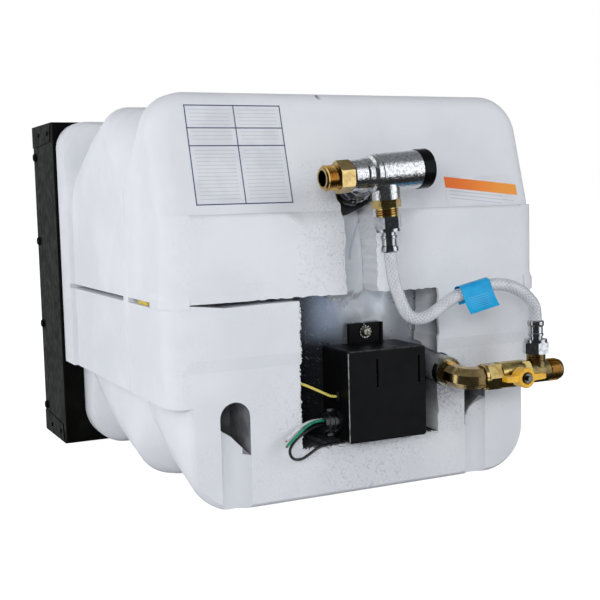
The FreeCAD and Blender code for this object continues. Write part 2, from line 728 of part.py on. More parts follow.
def hose_route():
    # Down from the mixing valve, round under the sag, up behind the flag and down into the tee.
    start = branch_point(upper_ferrule + ferrule_length)
    second = branch_point(101.2)
    end_z = cold_z + lower_ferrule + ferrule_length
    sag = [(-17.5, 220.5, 187), (-23.5, 222, 172.5), (-37.0, 224, 167.8), (-52.0, 226, 174),
           (-70, 228, 186.5), (-92, 230.5, 196), (-117, 232.5, 202), (-139, 233, 200.5), (-156, 232, 192),
           (-166.5, 231, 180.5)]
    return [(start.x, start.y, start.z), (second.x, second.y, second.z), *sag, (tee_x, cold_y, 170),
            (tee_x, cold_y, end_z)]


def hose_flag():
    # Paper flag folded round the hose, its two leaves pressed together and standing out from it.
    low_end, high_end = V(-71.8, 228.2, 187.5), V(-103.4, 231.4, 199.2)
    along = high_end - low_end
    length = along.Length
    along.normalize()
    bore, thickness, reach = hose_diameter / 2 + 1.0, 0.4, 37.0
    ring = rod(bore + thickness, length, low_end, along)
    ring = ring.cut(rod(bore, length + 4, low_end - along * 2, along))
    hang = V(0, 0.84, -0.54)
    hang = hang - along * hang.dot(along)
    hang.normalize()
    face = along.cross(hang)
    leaf = outline_face([(0, bore + 0.1), (length, bore + 0.1), (length, reach), (0, reach)],
                        low_end - face * thickness, along, hang)
    return joined(ring, leaf.extrude(face * (thickness * 2)))


def tee():
    along = V(-1, 0, 0)
    start = V(valve_end - 0.1, cold_y, cold_z)
    run = rod(11.4, start.x - tee_x + 11.4, start, along)
    male = turned([(7.8, 0), (thread_radius, 0), (thread_radius, 14.4), (10.0, 16.6), (7.8, 16.6)],
                  V(tee_x - 11.4, cold_y, cold_z), along)
    branch = rod(10.6, 10, V(tee_x, cold_y, cold_z), UP)
    thread = rod(9.5, 17, V(tee_x, cold_y, cold_z + 9), UP)
    socket = rod(thread_radius, 8, start - along * 8, along)
    body = joined(run, male, branch, thread, socket)
    return body.cut([rod(7.8, 60, start - along * 12, along), rod(6.0, 40, V(tee_x, cold_y, cold_z), UP)])


def bypass_body():
    # Two hexagon ends round a ball chamber, with a stem neck facing the rear.
    along = V(-1, 0, 0)
    start = V(cold_x - elbow_arm - 0.1, cold_y, cold_z)
    end = V(valve_end, cold_y, cold_z)
    inlet = hexagon(24.5, 17, start, along, 30)
    chamber = rod(13.4, 28, V(stem_x + 15, cold_y, cold_z), along)
    outlet = hexagon(24.5, 10, end - along * 10, along, 30)
    neck = rod(7.6, 15.2, V(stem_x, cold_y, cold_z), REAR)
    body = joined(inlet, chamber, outlet, neck)
    ball_room = Part.makeSphere(9.55, V(stem_x, cold_y, cold_z), along)
    bores = [rod(thread_radius + 0.05, 9.9, start - along * 0.1, along),
             rod(thread_radius + 0.05, 9.9, end - along * 9.8, along),
             rod(6.4, 60, start - along, along), ball_room,
             rod(4.05, 20, V(stem_x, cold_y, cold_z), REAR)]
    return body.cut(bores)


def bypass_moving():
    # Ball, stem, handle and nut turn together about the stem axis.
    centre = V(stem_x, cold_y, cold_z)
    ball = Part.makeSphere(9.5, centre).cut(rod(6.4, 30, centre - RIGHT * 15, RIGHT))
    ball = ball.cut(block(stem_x - 1.6, stem_x + 1.6, cold_y + 7.4, cold_y + 12, cold_z - 5, cold_z + 5))
    stem = rod(4.0, 17.4, centre + REAR * 9.6, REAR).fuse(rod(2.5, 9, centre + REAR * 26, REAR))
    key = block(stem_x - 1.55, stem_x + 1.55, cold_y + 7.5, cold_y + 9.7, cold_z - 3.4, cold_z + 3.4)
    flats = [block(stem_x - 6, stem_x + 6, cold_y + 15.75, cold_y + 31, cold_z + way * 2.9, cold_z + way * 6)
             for way in (1, -1)]
    return ball, joined(stem.cut(flats), key)


def bypass_handle():
    centre = V(stem_x, cold_y, cold_z)
    boss = turned([(0, 0), (8.6, 0), (9.9, 2), (9.9, 13.4), (9.2, 14.2), (0, 14.2)], centre + REAR * 15.8,
                  REAR)
    wing = [(-23.6, -2.0), (-22.4, -2.6), (-8, -3.4), (8, -3.4), (22.4, -2.6), (23.6, -2.0), (23.6, 2.0),
            (22.4, 2.6), (8, 3.4), (-8, 3.4), (-22.4, 2.6), (-23.6, 2.0)]
    wings = outline_face(wing, centre + REAR * 21, RIGHT, UP).extrude(REAR * 8)
    handle = joined(boss, wings)
    recess = rod(6.4, 4, centre + REAR * 27, REAR)
    slot = rod(4.05, 20, centre + REAR * 14, REAR).cut(
        [block(stem_x - 6, stem_x + 6, cold_y + 13, cold_y + 31, cold_z + way * 2.95, cold_z + way * 6)
         for way in (1, -1)])
    return handle.cut([recess, slot])


def handle_nut():
    centre = V(stem_x, cold_y, cold_z)
    nut = hexagon(9.0, 4.4, centre + REAR * 27.0, REAR, 10, 0.6)
    return nut.cut(rod(2.5, 12, centre + REAR * 25, REAR))


def packing_nut():
    centre = V(stem_x, cold_y, cold_z)
    nut = hexagon(17.0, 0.5, centre + REAR * 15.25, REAR, 0, 0.1)
    return nut.cut(rod(4.05, 8, centre + REAR * 12, REAR))


def inlet_elbow():
    # Street elbow with eight-sided arms, male into the collar and male into the valve.
    corner = V(cold_x, cold_y, cold_z)
    away = -cold_axis()[1]
    across = V(-1, 0, 0)
    radius, bend_radius, arm, bore = 11.2, 15.0, 26.0, 7.2
    eight = [(radius * math.cos(turn), radius * math.sin(turn))
             for turn in (math.pi / 8 + k * math.pi / 4 for k in range(8))]
    back = corner + away * arm
    side = corner + across * elbow_arm
    middle = corner + (away + across) * (bend_radius * (1 - math.sqrt(0.5)))
    bend = Part.Arc(corner + away * bend_radius, middle, corner + across * bend_radius)
    path = Part.Wire([Part.makeLine(back, corner + away * bend_radius), bend.toShape(),
                      Part.makeLine(corner + across * bend_radius, side)])
    ring = outline_face(eight, back, RIGHT, away.cross(RIGHT)).OuterWire
    arms = [path.makePipeShell([ring], True, False), rod(12.2, 3.4, side - across * 3.4, across),
            rod(11.9, 4.0, back, -away), rod(thread_radius, 8, side, across),
            rod(thread_radius, 9, back, away)]
    hollow = Part.Wire(Part.makeCircle(bore, back, away))
    passage = path.makePipeShell([hollow], True, False)
    ends = [rod(bore, 20, side - across, across), rod(bore, 20, back - away, away)]
    return joined(arms[0], *arms[1:]).cut([passage] + ends)


def inlet_nipple():
    # Pipe nipple from the tank's cold spud to the collar, reduced where it screws into the spud.
    foot, out = cold_axis()
    corner = V(cold_x, cold_y, cold_z)
    start = foot + out * 12.2
    end = corner - out * 35
    pipe = rod(pipe_radius, (end - start).Length, start, out)
    tail = rod(thread_radius, 12, start - out * 12, out)
    return joined(pipe, tail).cut(rod(9.0, 200, start - out * 20, out))


def inlet_collar():
    out = cold_axis()[1]
    start = V(cold_x, cold_y, cold_z) - out * 34.9
    ring = turned([(thread_radius + 0.05, 0), (14.0, 0), (15.2, 1.2), (15.2, 7.4), (14.4, 8.8),
                   (thread_radius + 0.05, 8.8)], start, out)
    return ring


def box_base():
    # Deep tray with a screw tab on top, knockouts on its left side and a hole for the element head.
    x0, x1 = box_x
    z0, z1 = box_z
    tray = rounded_plate(x0, x1, z0, z1, 3, box_back, box_front - 4.4)
    hollow = rounded_plate(x0 + box_wall, x1 - box_wall, z0 + box_wall, z1 - box_wall, 2, box_back + 2.4,
                           box_front)
    step = rounded_plate(x0 + 0.9, x1 - 0.9, z0 + 0.9, z1 - 0.9, 2, box_front - 4.4, box_front - 1.9)
    tab = block(-34.5, 4.5, box_back, box_back + 2.6, z1 - 3, z1 + 20)
    rib = block(-34.5, -32.5, box_back + 2.6, box_back + 5, z1 - 3, z1 + 20)
    ear = block(2.5, 4.5, box_back + 2.6, box_back + 5, z1 - 3, z1 + 20)
    body = joined(tray, step, tab, rib, ear).cut(hollow)
    cuts = [rod(20.5, 10, V(element_x, box_back - 5, element_z), REAR),
            rod(2.6, 10, V(-15, box_back - 5, 151), REAR),
            block(-16.8, -13.2, box_back - 1, box_back + 3, 151, z1 + 21),
            rod(9.05, 10, V(x1 - 5, clamp_y, clamp_z), RIGHT),
            rod(4.05, 10, V(x1 - 5, bush_y, bush_z), RIGHT)]
    return body.cut(cuts)


clamp_y, clamp_z = 184.0, 70.0
bush_y, bush_z = 183.0, 94.0


def box_cover():
    x0, x1 = box_x
    z0, z1 = box_z
    lid = rounded_plate(x0, x1, z0, z1, 3, box_front - 4.35, box_front)
    rim = [edge for edge in lid.Edges if abs(edge.CenterOfMass.y - box_front) < 0.01]
    lid = lid.makeFillet(1.4, rim)
    room = rounded_plate(x0 + 0.85, x1 - 0.85, z0 + 0.85, z1 - 0.85, 2, box_front - 6, box_front - 1.85)
    slits = [block(x - 1.1, x + 1.1, box_front - 6, box_front + 1, 103.5, 130.5) for x in (1.2, -46.0)]
    hooks = []
    for x in (1.2, -46.0):
        hook = [(box_front - 1.0, 129), (box_front - 9, 129), (box_front - 9, 126), (box_front - 1.0, 118)]
        hooks.append(outline_face(hook, V(x - 3.4, 0, 0), REAR, UP).extrude(V(1.8, 0, 0)))
    return joined(lid.cut(room), *hooks).cut(slits)


def box_screw():
    start = V(-15, box_back + 2.6, 151)
    washer = rod(6.4, 1.0, start, REAR)
    head = turned([(0, 0), (4.4, 0), (4.4, 2.0), (3.2, 3.2), (0, 3.4)], start + REAR * 1.0, REAR)
    shank = rod(2.0, 15, start + REAR, FRONT)
    cross = [block(-15 - 0.5, -15 + 0.5, start.y + 2.8, start.y + 6, 148.6, 153.4),
             block(-15 - 2.4, -15 + 2.4, start.y + 2.8, start.y + 6, 150.5, 151.5)]
    return joined(washer, head, shank).cut(cross)


def cable_clamp():
    # Round gland with a grip collar, ribbed body and two cheeks.
    start = V(box_x[1], clamp_y, clamp_z)
    body = turned([(6.4, -6), (9.0, -6), (9.0, 0), (12.4, 0), (12.4, 4.2), (10.6, 5.0), (10.6, 7.0),
                   (11.6, 7.6), (11.6, 9.4), (10.6, 10), (10.6, 12), (11.6, 12.6), (11.6, 14.4), (10.2, 15.2),
                   (10.2, 19), (8.0, 19), (8.0, 2), (6.4, 2)], start, RIGHT)
    plug = turned([(0, 13.6), (8.2, 13.6), (8.2, 18.2), (0, 18.2)], start, RIGHT)
    ears = [block(start.x + 4.5, start.x + 14.5, clamp_y - 3.2, clamp_y + 3.2, clamp_z + way * 10,
                  clamp_z + way * 13.4) for way in (1, -1)]
    exits = [rod(wire_diameter / 2 + 0.05, 10, V(start.x + 12, y, z), RIGHT) for y, z in wire_exits]
    return joined(body, plug, *ears).cut(exits)


wire_exits = ((186.4, 72.6), (182.6, 72.6), (184.6, 67.6))


def clamp_nut():
    start = V(box_x[1] - box_wall, clamp_y, clamp_z)
    return hexagon(22.0, 3.4, start, V(-1, 0, 0), 0, 0.8).cut(rod(9.05, 20, start + RIGHT * 5, V(-1, 0, 0)))


def wire_bush():
    start = V(box_x[1], bush_y, bush_z)
    bore = wire_diameter / 2 + 0.05
    return turned([(bore, -3.4), (4.8, -3.4), (4.8, -1.85), (4.0, -1.85), (4.0, 0), (5.4, 0), (5.4, 1.2),
                   (4.2, 2.4), (bore, 2.4)], start, RIGHT)


def yellow_route():
    return [(box_x[1] + 0.5, bush_y, bush_z), (41.5, bush_y, bush_z), (50.5, 182, 98.5), (60, 179, 105.5),
            (68, rear_face - 14, 111), (opening_x[1] + 3, rear_face - 14, 111)]


def green_route():
    y, z = wire_exits[0]
    x = box_x[1] + 14.0
    return [(x, y, z), (x + 11, y, z), (x + 19, y + 3.4, z - 0.4), (x + 27.5, 193.6, 69.6),
            (x + 36.5, 197.6, 65), (x + 44.5, 200.4, 60.5), (x + 51.5, 202.2, 55.5)]


def white_route():
    y, z = wire_exits[1]
    x = box_x[1] + 14.0
    return [(x, y, z), (x + 11, y, z), (x + 19, y + 3.2, z + 0.2), (x + 27.5, 189.8, 71.6),
            (x + 35.5, 193.6, 68.6), (x + 43.5, 196.4, 64.5), (x + 50, 198.6, 60)]


def black_route():
    y, z = wire_exits[2]
    x = box_x[1] + 14.0
    return [(x, y, z), (x + 11, y, z), (x + 20, y + 4.0, z - 1.4), (x + 30, 193.4, 63.6), (x + 40, 196.6, 59),
            (x + 47.5, 197.6, 50.5), (x + 44, 197.2, 41.4), (x + 34, 196.6, 39.4), (x + 23, 195, 44.2),
            (x + 11, 190.5, 48.6), (x, 186, 48.2), (x - 11, 184, 47.5), (x - 22, 183, 47.3)]


def heating_element():
    start = V(element_x, box_back - 2, element_z)
    flange = hexagon(34.0, 7.0, start + REAR * 2.0, REAR, 30)
    thread = rod(16.0, 29, start + REAR * 3, FRONT)
    block_end = rod(12.0, 10, start + REAR * 9, REAR)
    posts = [rod(2.0, 6, start + REAR * 19 + RIGHT * side * 6, REAR) for side in (1, -1)]
    turn_y, root_y, half_gap = -60.0, start.y - 24, 7.0
    near, far = element_x - half_gap, element_x + half_gap
    path = Part.Wire([Part.makeLine(V(near, root_y, element_z), V(near, turn_y, element_z)),
                      Part.Arc(V(near, turn_y, element_z), V(element_x, turn_y - half_gap, element_z),
                               V(far, turn_y, element_z)).toShape(),
                      Part.makeLine(V(far, turn_y, element_z), V(far, root_y, element_z))])
    ring = Part.Wire(Part.makeCircle(4, V(near, root_y, element_z), REAR))
    loop = path.makePipeShell([ring], True, False)
    print("element loop reach", round(root_y - turn_y, 1))
    return joined(flange, thread, block_end, loop, *posts)


def element_gasket():
    return rod(19.4, 1.95, V(element_x, box_back - 1.98, element_z), REAR).cut(
        rod(16.1, 10, V(element_x, box_back - 5, element_z), REAR))


def relief_valve():
    # Temperature and pressure relief valve, its outlet facing down.
    start = V(relief_x, front_apex - 3, relief_z)
    centre = start + FRONT * 24
    thread = rod(thread_radius, 30, start + FRONT * 4, REAR)
    shoulder = hexagon(26, 8, start + FRONT * 3, FRONT, 0)
    barrel = rod(12.5, 28, start + FRONT * 9, FRONT)
    outlet = rod(13.0, 26, centre, DOWN)
    outlet_rim = hexagon(28, 7, centre + DOWN * 22, DOWN, 0)
    tower = turned([(0, 0), (10.5, 0), (10.5, 23), (11.5, 24), (11.5, 26), (9, 30), (0, 30)], centre, UP)
    lugs = [block(relief_x + side * 3.6, relief_x + side * 6.5, centre.y + 5, centre.y + 12, relief_z + 22,
                  relief_z + 38) for side in (1, -1)]
    body = joined(barrel, thread, shoulder, outlet, outlet_rim, tower, *lugs)
    body = body.cut(rod(8.5, 60, centre + DOWN * 4, DOWN))
    body = body.cut(rod(7.0, 60, centre + REAR * 2, REAR))
    body = body.cut(rod(4.5, 20, centre + DOWN * 12, UP))
    body = body.cut(rod(1.65, 40, centre + UP * 2, UP))
    return body.cut(rod(1.55, 30, V(relief_x - 15, centre.y + 8.5, relief_z + 34), RIGHT)), centre


def relief_lever(centre):
    pin_at = V(relief_x, centre.y + 8.5, relief_z + 34)
    eye = rod(3.2, 7.0, pin_at - RIGHT * 3.5, RIGHT)
    left, right, tip = relief_x - 3.4, relief_x + 3.4, pin_at.y - 36
    strap = block(left, right, pin_at.y + 1, tip, pin_at.z + 1.4, pin_at.z + 3.2)
    finger = block(left, right, tip + 1.8, tip, pin_at.z + 1.4, pin_at.z + 11)
    lever = joined(eye, strap, finger)
    lever = lever.cut(rod(1.55, 20, pin_at - RIGHT * 10, RIGHT))
    pin = turned([(0, 0), (2.6, 0), (2.6, 1.0), (1.5, 1.0), (1.5, 15.0), (0, 15.0)], pin_at - RIGHT * 7.6,
                 RIGHT)
    return lever, pin


def relief_stem(centre):
    # Stem that the lever lifts off its seat.
    rod_part = rod(1.6, 29.6, centre + UP * 5, UP)
    return rod_part


def gas_valve():
    # Solenoid gas valve on a bracket, inlet at its right, outlet toward the orifice tube.
    body = block(52, 112, -262, -226, 74, 118)
    body = body.makeFillet(3, body.Edges)
    coils = [rod(13, 30, V(x, -244, 117.5), UP) for x in (68, 96)]
    caps = [rod(14.5, 4, V(x, -244, 147.4), UP) for x in (68, 96)]
    inlet = hexagon(20, 12, V(111.8, -244, 92), RIGHT, 0)
    outlet = hexagon(18, 9, V(52.2, -244, 92), V(-1, 0, 0), 0)
    bracket = block(50, 114, -226.2, -224.6, 66, 126)
    foot = block(50, 114, -224.6, seam_face - 1, 66, 67.6)
    posts = [rod(3.0, 8, V(x, -240, 151.2), UP) for x in (68, 96)]
    return joined(body, inlet, outlet, bracket, foot, *coils, *caps, *posts)


def gas_inlet():
    return turned([(4, 0), (8.8, 0), (8.8, 5), (7.9, 6), (7.9, 20), (6.2, 23), (4, 23)],
                  V(123.9, -244, 92), RIGHT)


def orifice_tube():
    # Bent tube from the gas valve to the burner's orifice.
    low = flue_z[0]
    points = [(43.1, -244, 92), (26, -244, 92), (6, -256, 92), (-14, -268, 96), (-34, -280, low)]
    points += [(-58, -286, low), (flue_x, -284, low), (flue_x, -266, low)]
    return cord("orifice_tube", points, 8.0)


def burner():
    # Venturi throat and flame tube that reach into the lower flue mouth.
    low = flue_z[0]
    bell = turned([(11, 0), (17, 0), (15, 3), (12, 10), (11, 18), (11, 30), (13, 36), (13, 84), (11.8, 84),
                   (11.8, 36.4), (9.8, 30), (9.8, 18), (10.8, 10), (11, 3)], V(flue_x, -257, low), REAR)
    hub = rod(7.2, 9.8, V(flue_x, -266, low), REAR).cut(rod(1.0, 30, V(flue_x, -270, low), REAR))
    webs = [block(flue_x - 16, flue_x + 16, -259, -254, low - 1.2, low + 1.2)]
    strap = block(flue_x - 1.5, flue_x + 1.5, -240, -226, low + 10.2, low + 44)
    plate = block(flue_x - 24, flue_x + 24, -227.6, -226, low + 42, low + 60)
    foot = block(flue_x - 24, flue_x + 24, -226, seam_face - 1, low + 58.4, low + 60)
    return joined(bell, hub, webs[0], strap, plate, foot).cut(rod(1.0, 30, V(flue_x, -270, low), REAR))


def igniter():
    low = flue_z[0]
    body = rod(4.0, 34, V(flue_x + 22, -236, low + 16), REAR)
    tip = rod(1.2, 36, V(flue_x + 22, -204, low + 16), REAR)
    tail = rod(2.6, 8, V(flue_x + 22, -244, low + 16), REAR)
    clip = block(flue_x + 20.8, flue_x + 23.2, -232, -227.65, low + 19.6, low + 46)
    foot = block(flue_x + 14, flue_x + 23.2, -228.8, -227.65, low + 43, low + 56)
    return joined(body, tip, tail, clip, foot)


def exhaust_box():
    # Flue outlet box with a louvred front.
    high = flue_z[1]
    x0, x1 = flue_x - 58, flue_x + 58
    front, back = pan_front + 8, seam_face - 1
    shell = block(x0, x1, front, back, high - 44, high + 44)
    uprights = [edge for edge in shell.Edges if abs(edge.tangentAt(edge.FirstParameter).y) > 0.99]
    shell = shell.makeFillet(8, uprights)
    hollow = block(x0 + 1.2, x1 - 1.2, front + 1.2, back - 1.2, high - 42.8, high + 42.8)
    hollow = hollow.makeFillet(6.8, [edge for edge in hollow.Edges
                                     if abs(edge.tangentAt(edge.FirstParameter).y) > 0.99])
    rows = [high + row * 12 for row in range(-2, 3)]
    slots = [rounded_plate(flue_x - 48, flue_x + 48, z - 3, z + 3, 2.9, front - 5, front + 5) for z in rows]
    mouth = rod(flue_radius + 0.4, 20, V(flue_x, back - 10, high), REAR)
    return shell.cut([hollow, mouth] + slots)


def drain_plug():
    start = V(drain_x, front_apex + 14, drain_z)
    head = hexagon(24, 9, start + FRONT * 12.0, FRONT, 0)
    flange = rod(14.5, 2.4, start + FRONT * 10, FRONT)
    thread = rod(9.0, 20, start + REAR * 8, FRONT)
    return joined(head, flange, thread)


def thermostat():
    # Clip-on cover over the two thermostat discs.
    back = seam_face - 1
    cover = rounded_plate(stat_x - 26, stat_x + 26, stat_z - 16, stat_z + 16, 5, back - 14, back)
    cover = cover.makeFillet(2, [edge for edge in cover.Edges if abs(edge.CenterOfMass.y - back + 14) < 0.01])
    discs = [rod(8, 4, V(stat_x + side * 13, back - 13, stat_z), FRONT) for side in (1, -1)]
    tabs = [block(x - 3, x + 3, back - 18.5, back - 16.5, stat_z - 1, stat_z + 1)
            for x in (stat_x + 13, stat_x - 13)]
    return joined(cover, *discs, *tabs).cut(rod(8.1, 12, V(stat_x, back - 6, stat_z), REAR))


def control_cover():
    back = seam_face - 1
    body = rounded_plate(130, 200, 160, 260, 4, back - 32, back)
    body = body.makeFillet(2.5, [edge for edge in body.Edges if abs(edge.CenterOfMass.y - back + 32) < 0.01])
    ribs = [block(138, 192, back - 33.2, back - 31, z, z + 2) for z in range(176, 250, 12)]
    return joined(body, *ribs)


def sheet_labels():
    # Blank paper sheets stuck to the slanted face.
    out = V(0, math.cos(lean_angle), math.sin(lean_angle))
    rise = V(0, -math.sin(lean_angle), math.cos(lean_angle))
    root = V(0, rear_face - ledge_depth, ledge_z) + out * 0.02
    sheets = []
    for x0, x1, low, high in ((74, 172, 9, 106), (-187, -99.5, 2, 32), (-80, -44, 1.5, 40)):
        face = outline_face([(x0, low), (x1, low), (x1, high), (x0, high)], root, RIGHT, rise)
        sheets.append(face.extrude(out * 0.25))
    return Part.makeCompound(sheets)


def build():
    upper = upper_jacket()
    lips = corner_lips()
    keep("foam_upper", joined(upper, *lips))
    keep("foam_lower", lower_jacket())
    keep("tank", tank())
    keep("flue_tube", flue_tube())
    keep("pan_body", pan_body())
    keep("pan_top", pan_end(pan_z[1] - sheet, 1))
    keep("pan_bottom", pan_end(pan_z[0], -1))
    nodes["pan_rivets"] = pan_rivets()
    keep("hot_outlet_nipple", hot_outlet())
    keep("union_nut", union_nut())
    keep("mixing_valve_body", mixing_valve())
    keep("mixing_valve_cap", mixing_cap())
    keep("mixed_outlet_nipple", mixed_outlet())
    keep("branch_adapter", branch_adapter())
    branch = valve_frame()[2]
    keep("hose_nut_upper", hose_nut(branch_point(41.6), branch, 12))
    keep("hose_ferrule_upper", hose_ferrule(branch_point(upper_ferrule), branch))
    keep("hose", cord("hose", hose_route(), hose_diameter))
    keep("hose_flag", hose_flag())
    keep("hose_nut_lower", hose_nut(V(tee_x, cold_y, cold_z + 18.5), UP, 5))
    keep("hose_ferrule_lower", hose_ferrule(V(tee_x, cold_y, cold_z + lower_ferrule), UP))
    keep("inlet_tee", tee())
    keep("bypass_valve_body", bypass_body())
    ball, stem = bypass_moving()
    keep("bypass_ball", ball)
    keep("bypass_stem", stem)
    keep("bypass_handle", bypass_handle())
    keep("handle_nut", handle_nut())
    keep("stem_washer", packing_nut())
    keep("inlet_elbow", inlet_elbow())
    keep("inlet_nipple", inlet_nipple())
    keep("inlet_collar", inlet_collar())
    keep("box_base", box_base())
    keep("box_cover", box_cover())
    keep("box_screw", box_screw())
    keep("cable_clamp", cable_clamp())
    keep("clamp_nut", clamp_nut())
    keep("wire_bush", wire_bush())
    keep("wire_yellow", cord("wire_yellow", yellow_route(), wire_diameter))
    keep("wire_green", cord("wire_green", green_route(), wire_diameter))
    keep("wire_white", cord("wire_white", white_route(), wire_diameter))
    keep("wire_black", cord("wire_black", black_route(), wire_diameter))
    keep("heating_element", heating_element())
    keep("element_gasket", element_gasket())
    relief, centre = relief_valve()
    keep("relief_valve_body", relief)
    lever, pin = relief_lever(centre)
    keep("relief_lever", lever)
    keep("relief_pin", pin)
    keep("relief_stem", relief_stem(centre))
    keep("gas_valve", gas_valve())
    keep("gas_inlet_fitting", gas_inlet())
    keep("orifice_tube", orifice_tube())
    keep("burner", burner())
    keep("igniter", igniter())
    keep("exhaust_box", exhaust_box())
    keep("drain_plug", drain_plug())
    keep("thermostat_cover", thermostat())
    keep("control_cover", control_cover())
    nodes["caution_sheets"] = sheet_labels()


build()
for name, shape in nodes.items():
    shape.translate(UP * -foot_z)
    if not shape.isValid():
        print("not valid:", name)
    shape.exportStep("parts/" + name + ".step")
print(len(nodes), "nodes")
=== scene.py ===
import bpy
import math
import random
from mathutils import Matrix, Vector


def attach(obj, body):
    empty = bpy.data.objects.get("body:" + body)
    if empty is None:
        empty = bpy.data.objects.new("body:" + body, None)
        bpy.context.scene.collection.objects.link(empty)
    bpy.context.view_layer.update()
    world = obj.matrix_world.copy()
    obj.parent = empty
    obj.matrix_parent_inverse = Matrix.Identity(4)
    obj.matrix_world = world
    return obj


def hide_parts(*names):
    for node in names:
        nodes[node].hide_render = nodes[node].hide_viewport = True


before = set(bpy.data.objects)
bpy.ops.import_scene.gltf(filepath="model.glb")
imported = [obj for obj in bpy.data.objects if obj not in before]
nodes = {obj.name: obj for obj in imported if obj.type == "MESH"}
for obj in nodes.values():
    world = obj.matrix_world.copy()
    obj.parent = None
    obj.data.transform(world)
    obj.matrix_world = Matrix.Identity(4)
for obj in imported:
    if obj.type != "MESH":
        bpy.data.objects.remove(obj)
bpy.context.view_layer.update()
print("frame loaded,", len(nodes), "nodes")

baseLift = 4.5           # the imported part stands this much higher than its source, in mm


def spot(x, y, z):
    # a point of the CAD source, in mm, as a point of the frame
    return Vector((x, y, z + baseLift)) / 1000


def useOnly(piece, *others):
    # selects pieces, the first of them active
    bpy.ops.object.select_all(action="DESELECT")
    for one in (piece, *others):
        one.select_set(True)
    bpy.context.view_layer.objects.active = piece


def joinAll(pieces):
    useOnly(*pieces)
    bpy.ops.object.join()
    bpy.ops.object.transform_apply()
    return pieces[0]


def applyModifier(piece, kind, **settings):
    modifier = piece.modifiers.new(kind.title(), kind)
    for name, value in settings.items():
        setattr(modifier, name, value)
    useOnly(piece)
    bpy.ops.object.modifier_apply(modifier=modifier.name)


def copyTo(piece, matrix):
    # a copy with its own mesh
    made = piece.copy()
    made.data = piece.data.copy()
    made.matrix_world = matrix
    bpy.context.scene.collection.objects.link(made)
    return made


def editAll(operator, **settings):
    # one edit-mode operator on the whole of the active mesh
    bpy.ops.object.mode_set(mode="EDIT")
    bpy.ops.mesh.select_all(action="SELECT")
    operator(**settings)
    bpy.ops.object.mode_set(mode="OBJECT")


def dress(piece, name, finish):
    # name, finish and slot of a piece that is done
    piece.name = name
    piece.data.name = name
    piece.data.materials.clear()
    piece.data.materials.append(finish)
    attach(piece, "root")
    return piece


def settle(piece, start, along, spin=0.0):
    # stands a piece that was shaped up the Z axis at a point, along a direction, and applies its place
    turn = Vector(along).to_track_quat("Z", "Y").to_matrix().to_4x4()
    piece.matrix_world = Matrix.Translation(start) @ turn @ Matrix.Rotation(spin, 4, "Z")
    useOnly(piece)
    bpy.ops.object.transform_apply()


# Camera, lights and floor
shot = {
    "place": (0.519409, 1.117158, 0.295219),                     # metres
    "turn": 0.4470275, "tip": 0.0958838, "lean": -0.0263037,     # radians
    "lens": 65.338, "film": 36, "clip": (0.05, 60),
}


def setCamera():
    turn, tip, lean = shot["turn"], shot["tip"], shot["lean"]
    ahead = Vector((-math.sin(turn) * math.cos(tip), -math.cos(turn) * math.cos(tip), -math.sin(tip)))
    levelRight = ahead.cross(Vector((0, 0, 1))).normalized()
    levelUp = levelRight.cross(ahead)
    right = levelRight * math.cos(lean) + levelUp * math.sin(lean)
    up = levelUp * math.cos(lean) - levelRight * math.sin(lean)
    bpy.ops.object.camera_add()
    camera = bpy.context.object
    camera.name = "viewer"
    camera.data.lens = shot["lens"]
    camera.data.sensor_width = shot["film"]
    camera.data.clip_start, camera.data.clip_end = shot["clip"]
    facing = Matrix((right, up, -ahead)).transposed().to_4x4()
    camera.matrix_world = Matrix.Translation(shot["place"]) @ facing
    bpy.context.scene.camera = camera


studio = {
    "around": (0.34, 0.35, 0.37, 1), "over": (0.20, 0.21, 0.22, 1), "under": (0.03, 0.03, 0.03, 1),
    "horizon": (-0.5, -0.3), "zenith": (0.7, 0.95),  # radians of rise over which those three change
    "soft": 7.0,                                     # degrees over which each panel of light fades
    "panels": {                                      # turned from +Y towards +X and raised, in degrees
        "dark": {"turn": (-20, 82), "rise": (-90, 60), "tone": (0.045, 0.047, 0.05, 1)},
        "right": {"turn": (-64, -21), "rise": (-19, 37), "tone": (1.42, 1.45, 1.50, 1)},
        "rim": {"turn": (-118, -70), "rise": (-40, 46), "tone": (0.12, 0.12, 0.13, 1)},
        "left": {"turn": (84, 165), "rise": (-20, 50), "tone": (1.25, 1.27, 1.30, 1)},
        "cold": {"turn": (-21, -12), "rise": (-10, 22), "tone": (0.22, 0.31, 0.46, 1)},
    },
    "lamps": {                                       # metres and watts
        "key": {"place": (1.35, 1.75, 0.75), "aim": (0, 0.1, 0.2), "power": 22, "size": (1.5, 0.6)},
        "fill": {"place": (-1.3, 1.4, 1.0), "aim": (0, 0.1, 0.2), "power": 5, "size": (0.8, 0.8)},
        "side": {"place": (1.9, -0.6, 0.9), "aim": (0, -0.1, 0.2), "power": 5, "size": (1.2, 0.7)},
    },
    "floor": (0.80, 0.80, 0.81, 1), "glow": 0.80, "white": (1, 1, 1, 1),
}


def addLamp(name, look):
    bpy.ops.object.light_add(type="AREA")
    lamp = bpy.context.object
    lamp.name = name
    lamp.data.shape = "RECTANGLE"
    lamp.data.energy = look["power"]
    lamp.data.size, lamp.data.size_y = look["size"]
    start, aim = Vector(look["place"]), Vector(look["aim"])
    facing = (aim - start).to_track_quat("-Z", "Y").to_matrix().to_4x4()
    lamp.matrix_world = Matrix.Translation(start) @ facing
    lamp.visible_camera = False
    lamp.visible_glossy = False          # metals show the studio's panels instead


def between(tree, value, low, high):
    # one inside a range of degrees, fading to nothing outside
    soft = math.radians(studio["soft"]) / 2
    low, high = math.radians(low), math.radians(high)
    rising = remap(tree, value, low - soft, low + soft)
    return sums(tree, "SUBTRACT", rising, remap(tree, value, high - soft, high + soft))


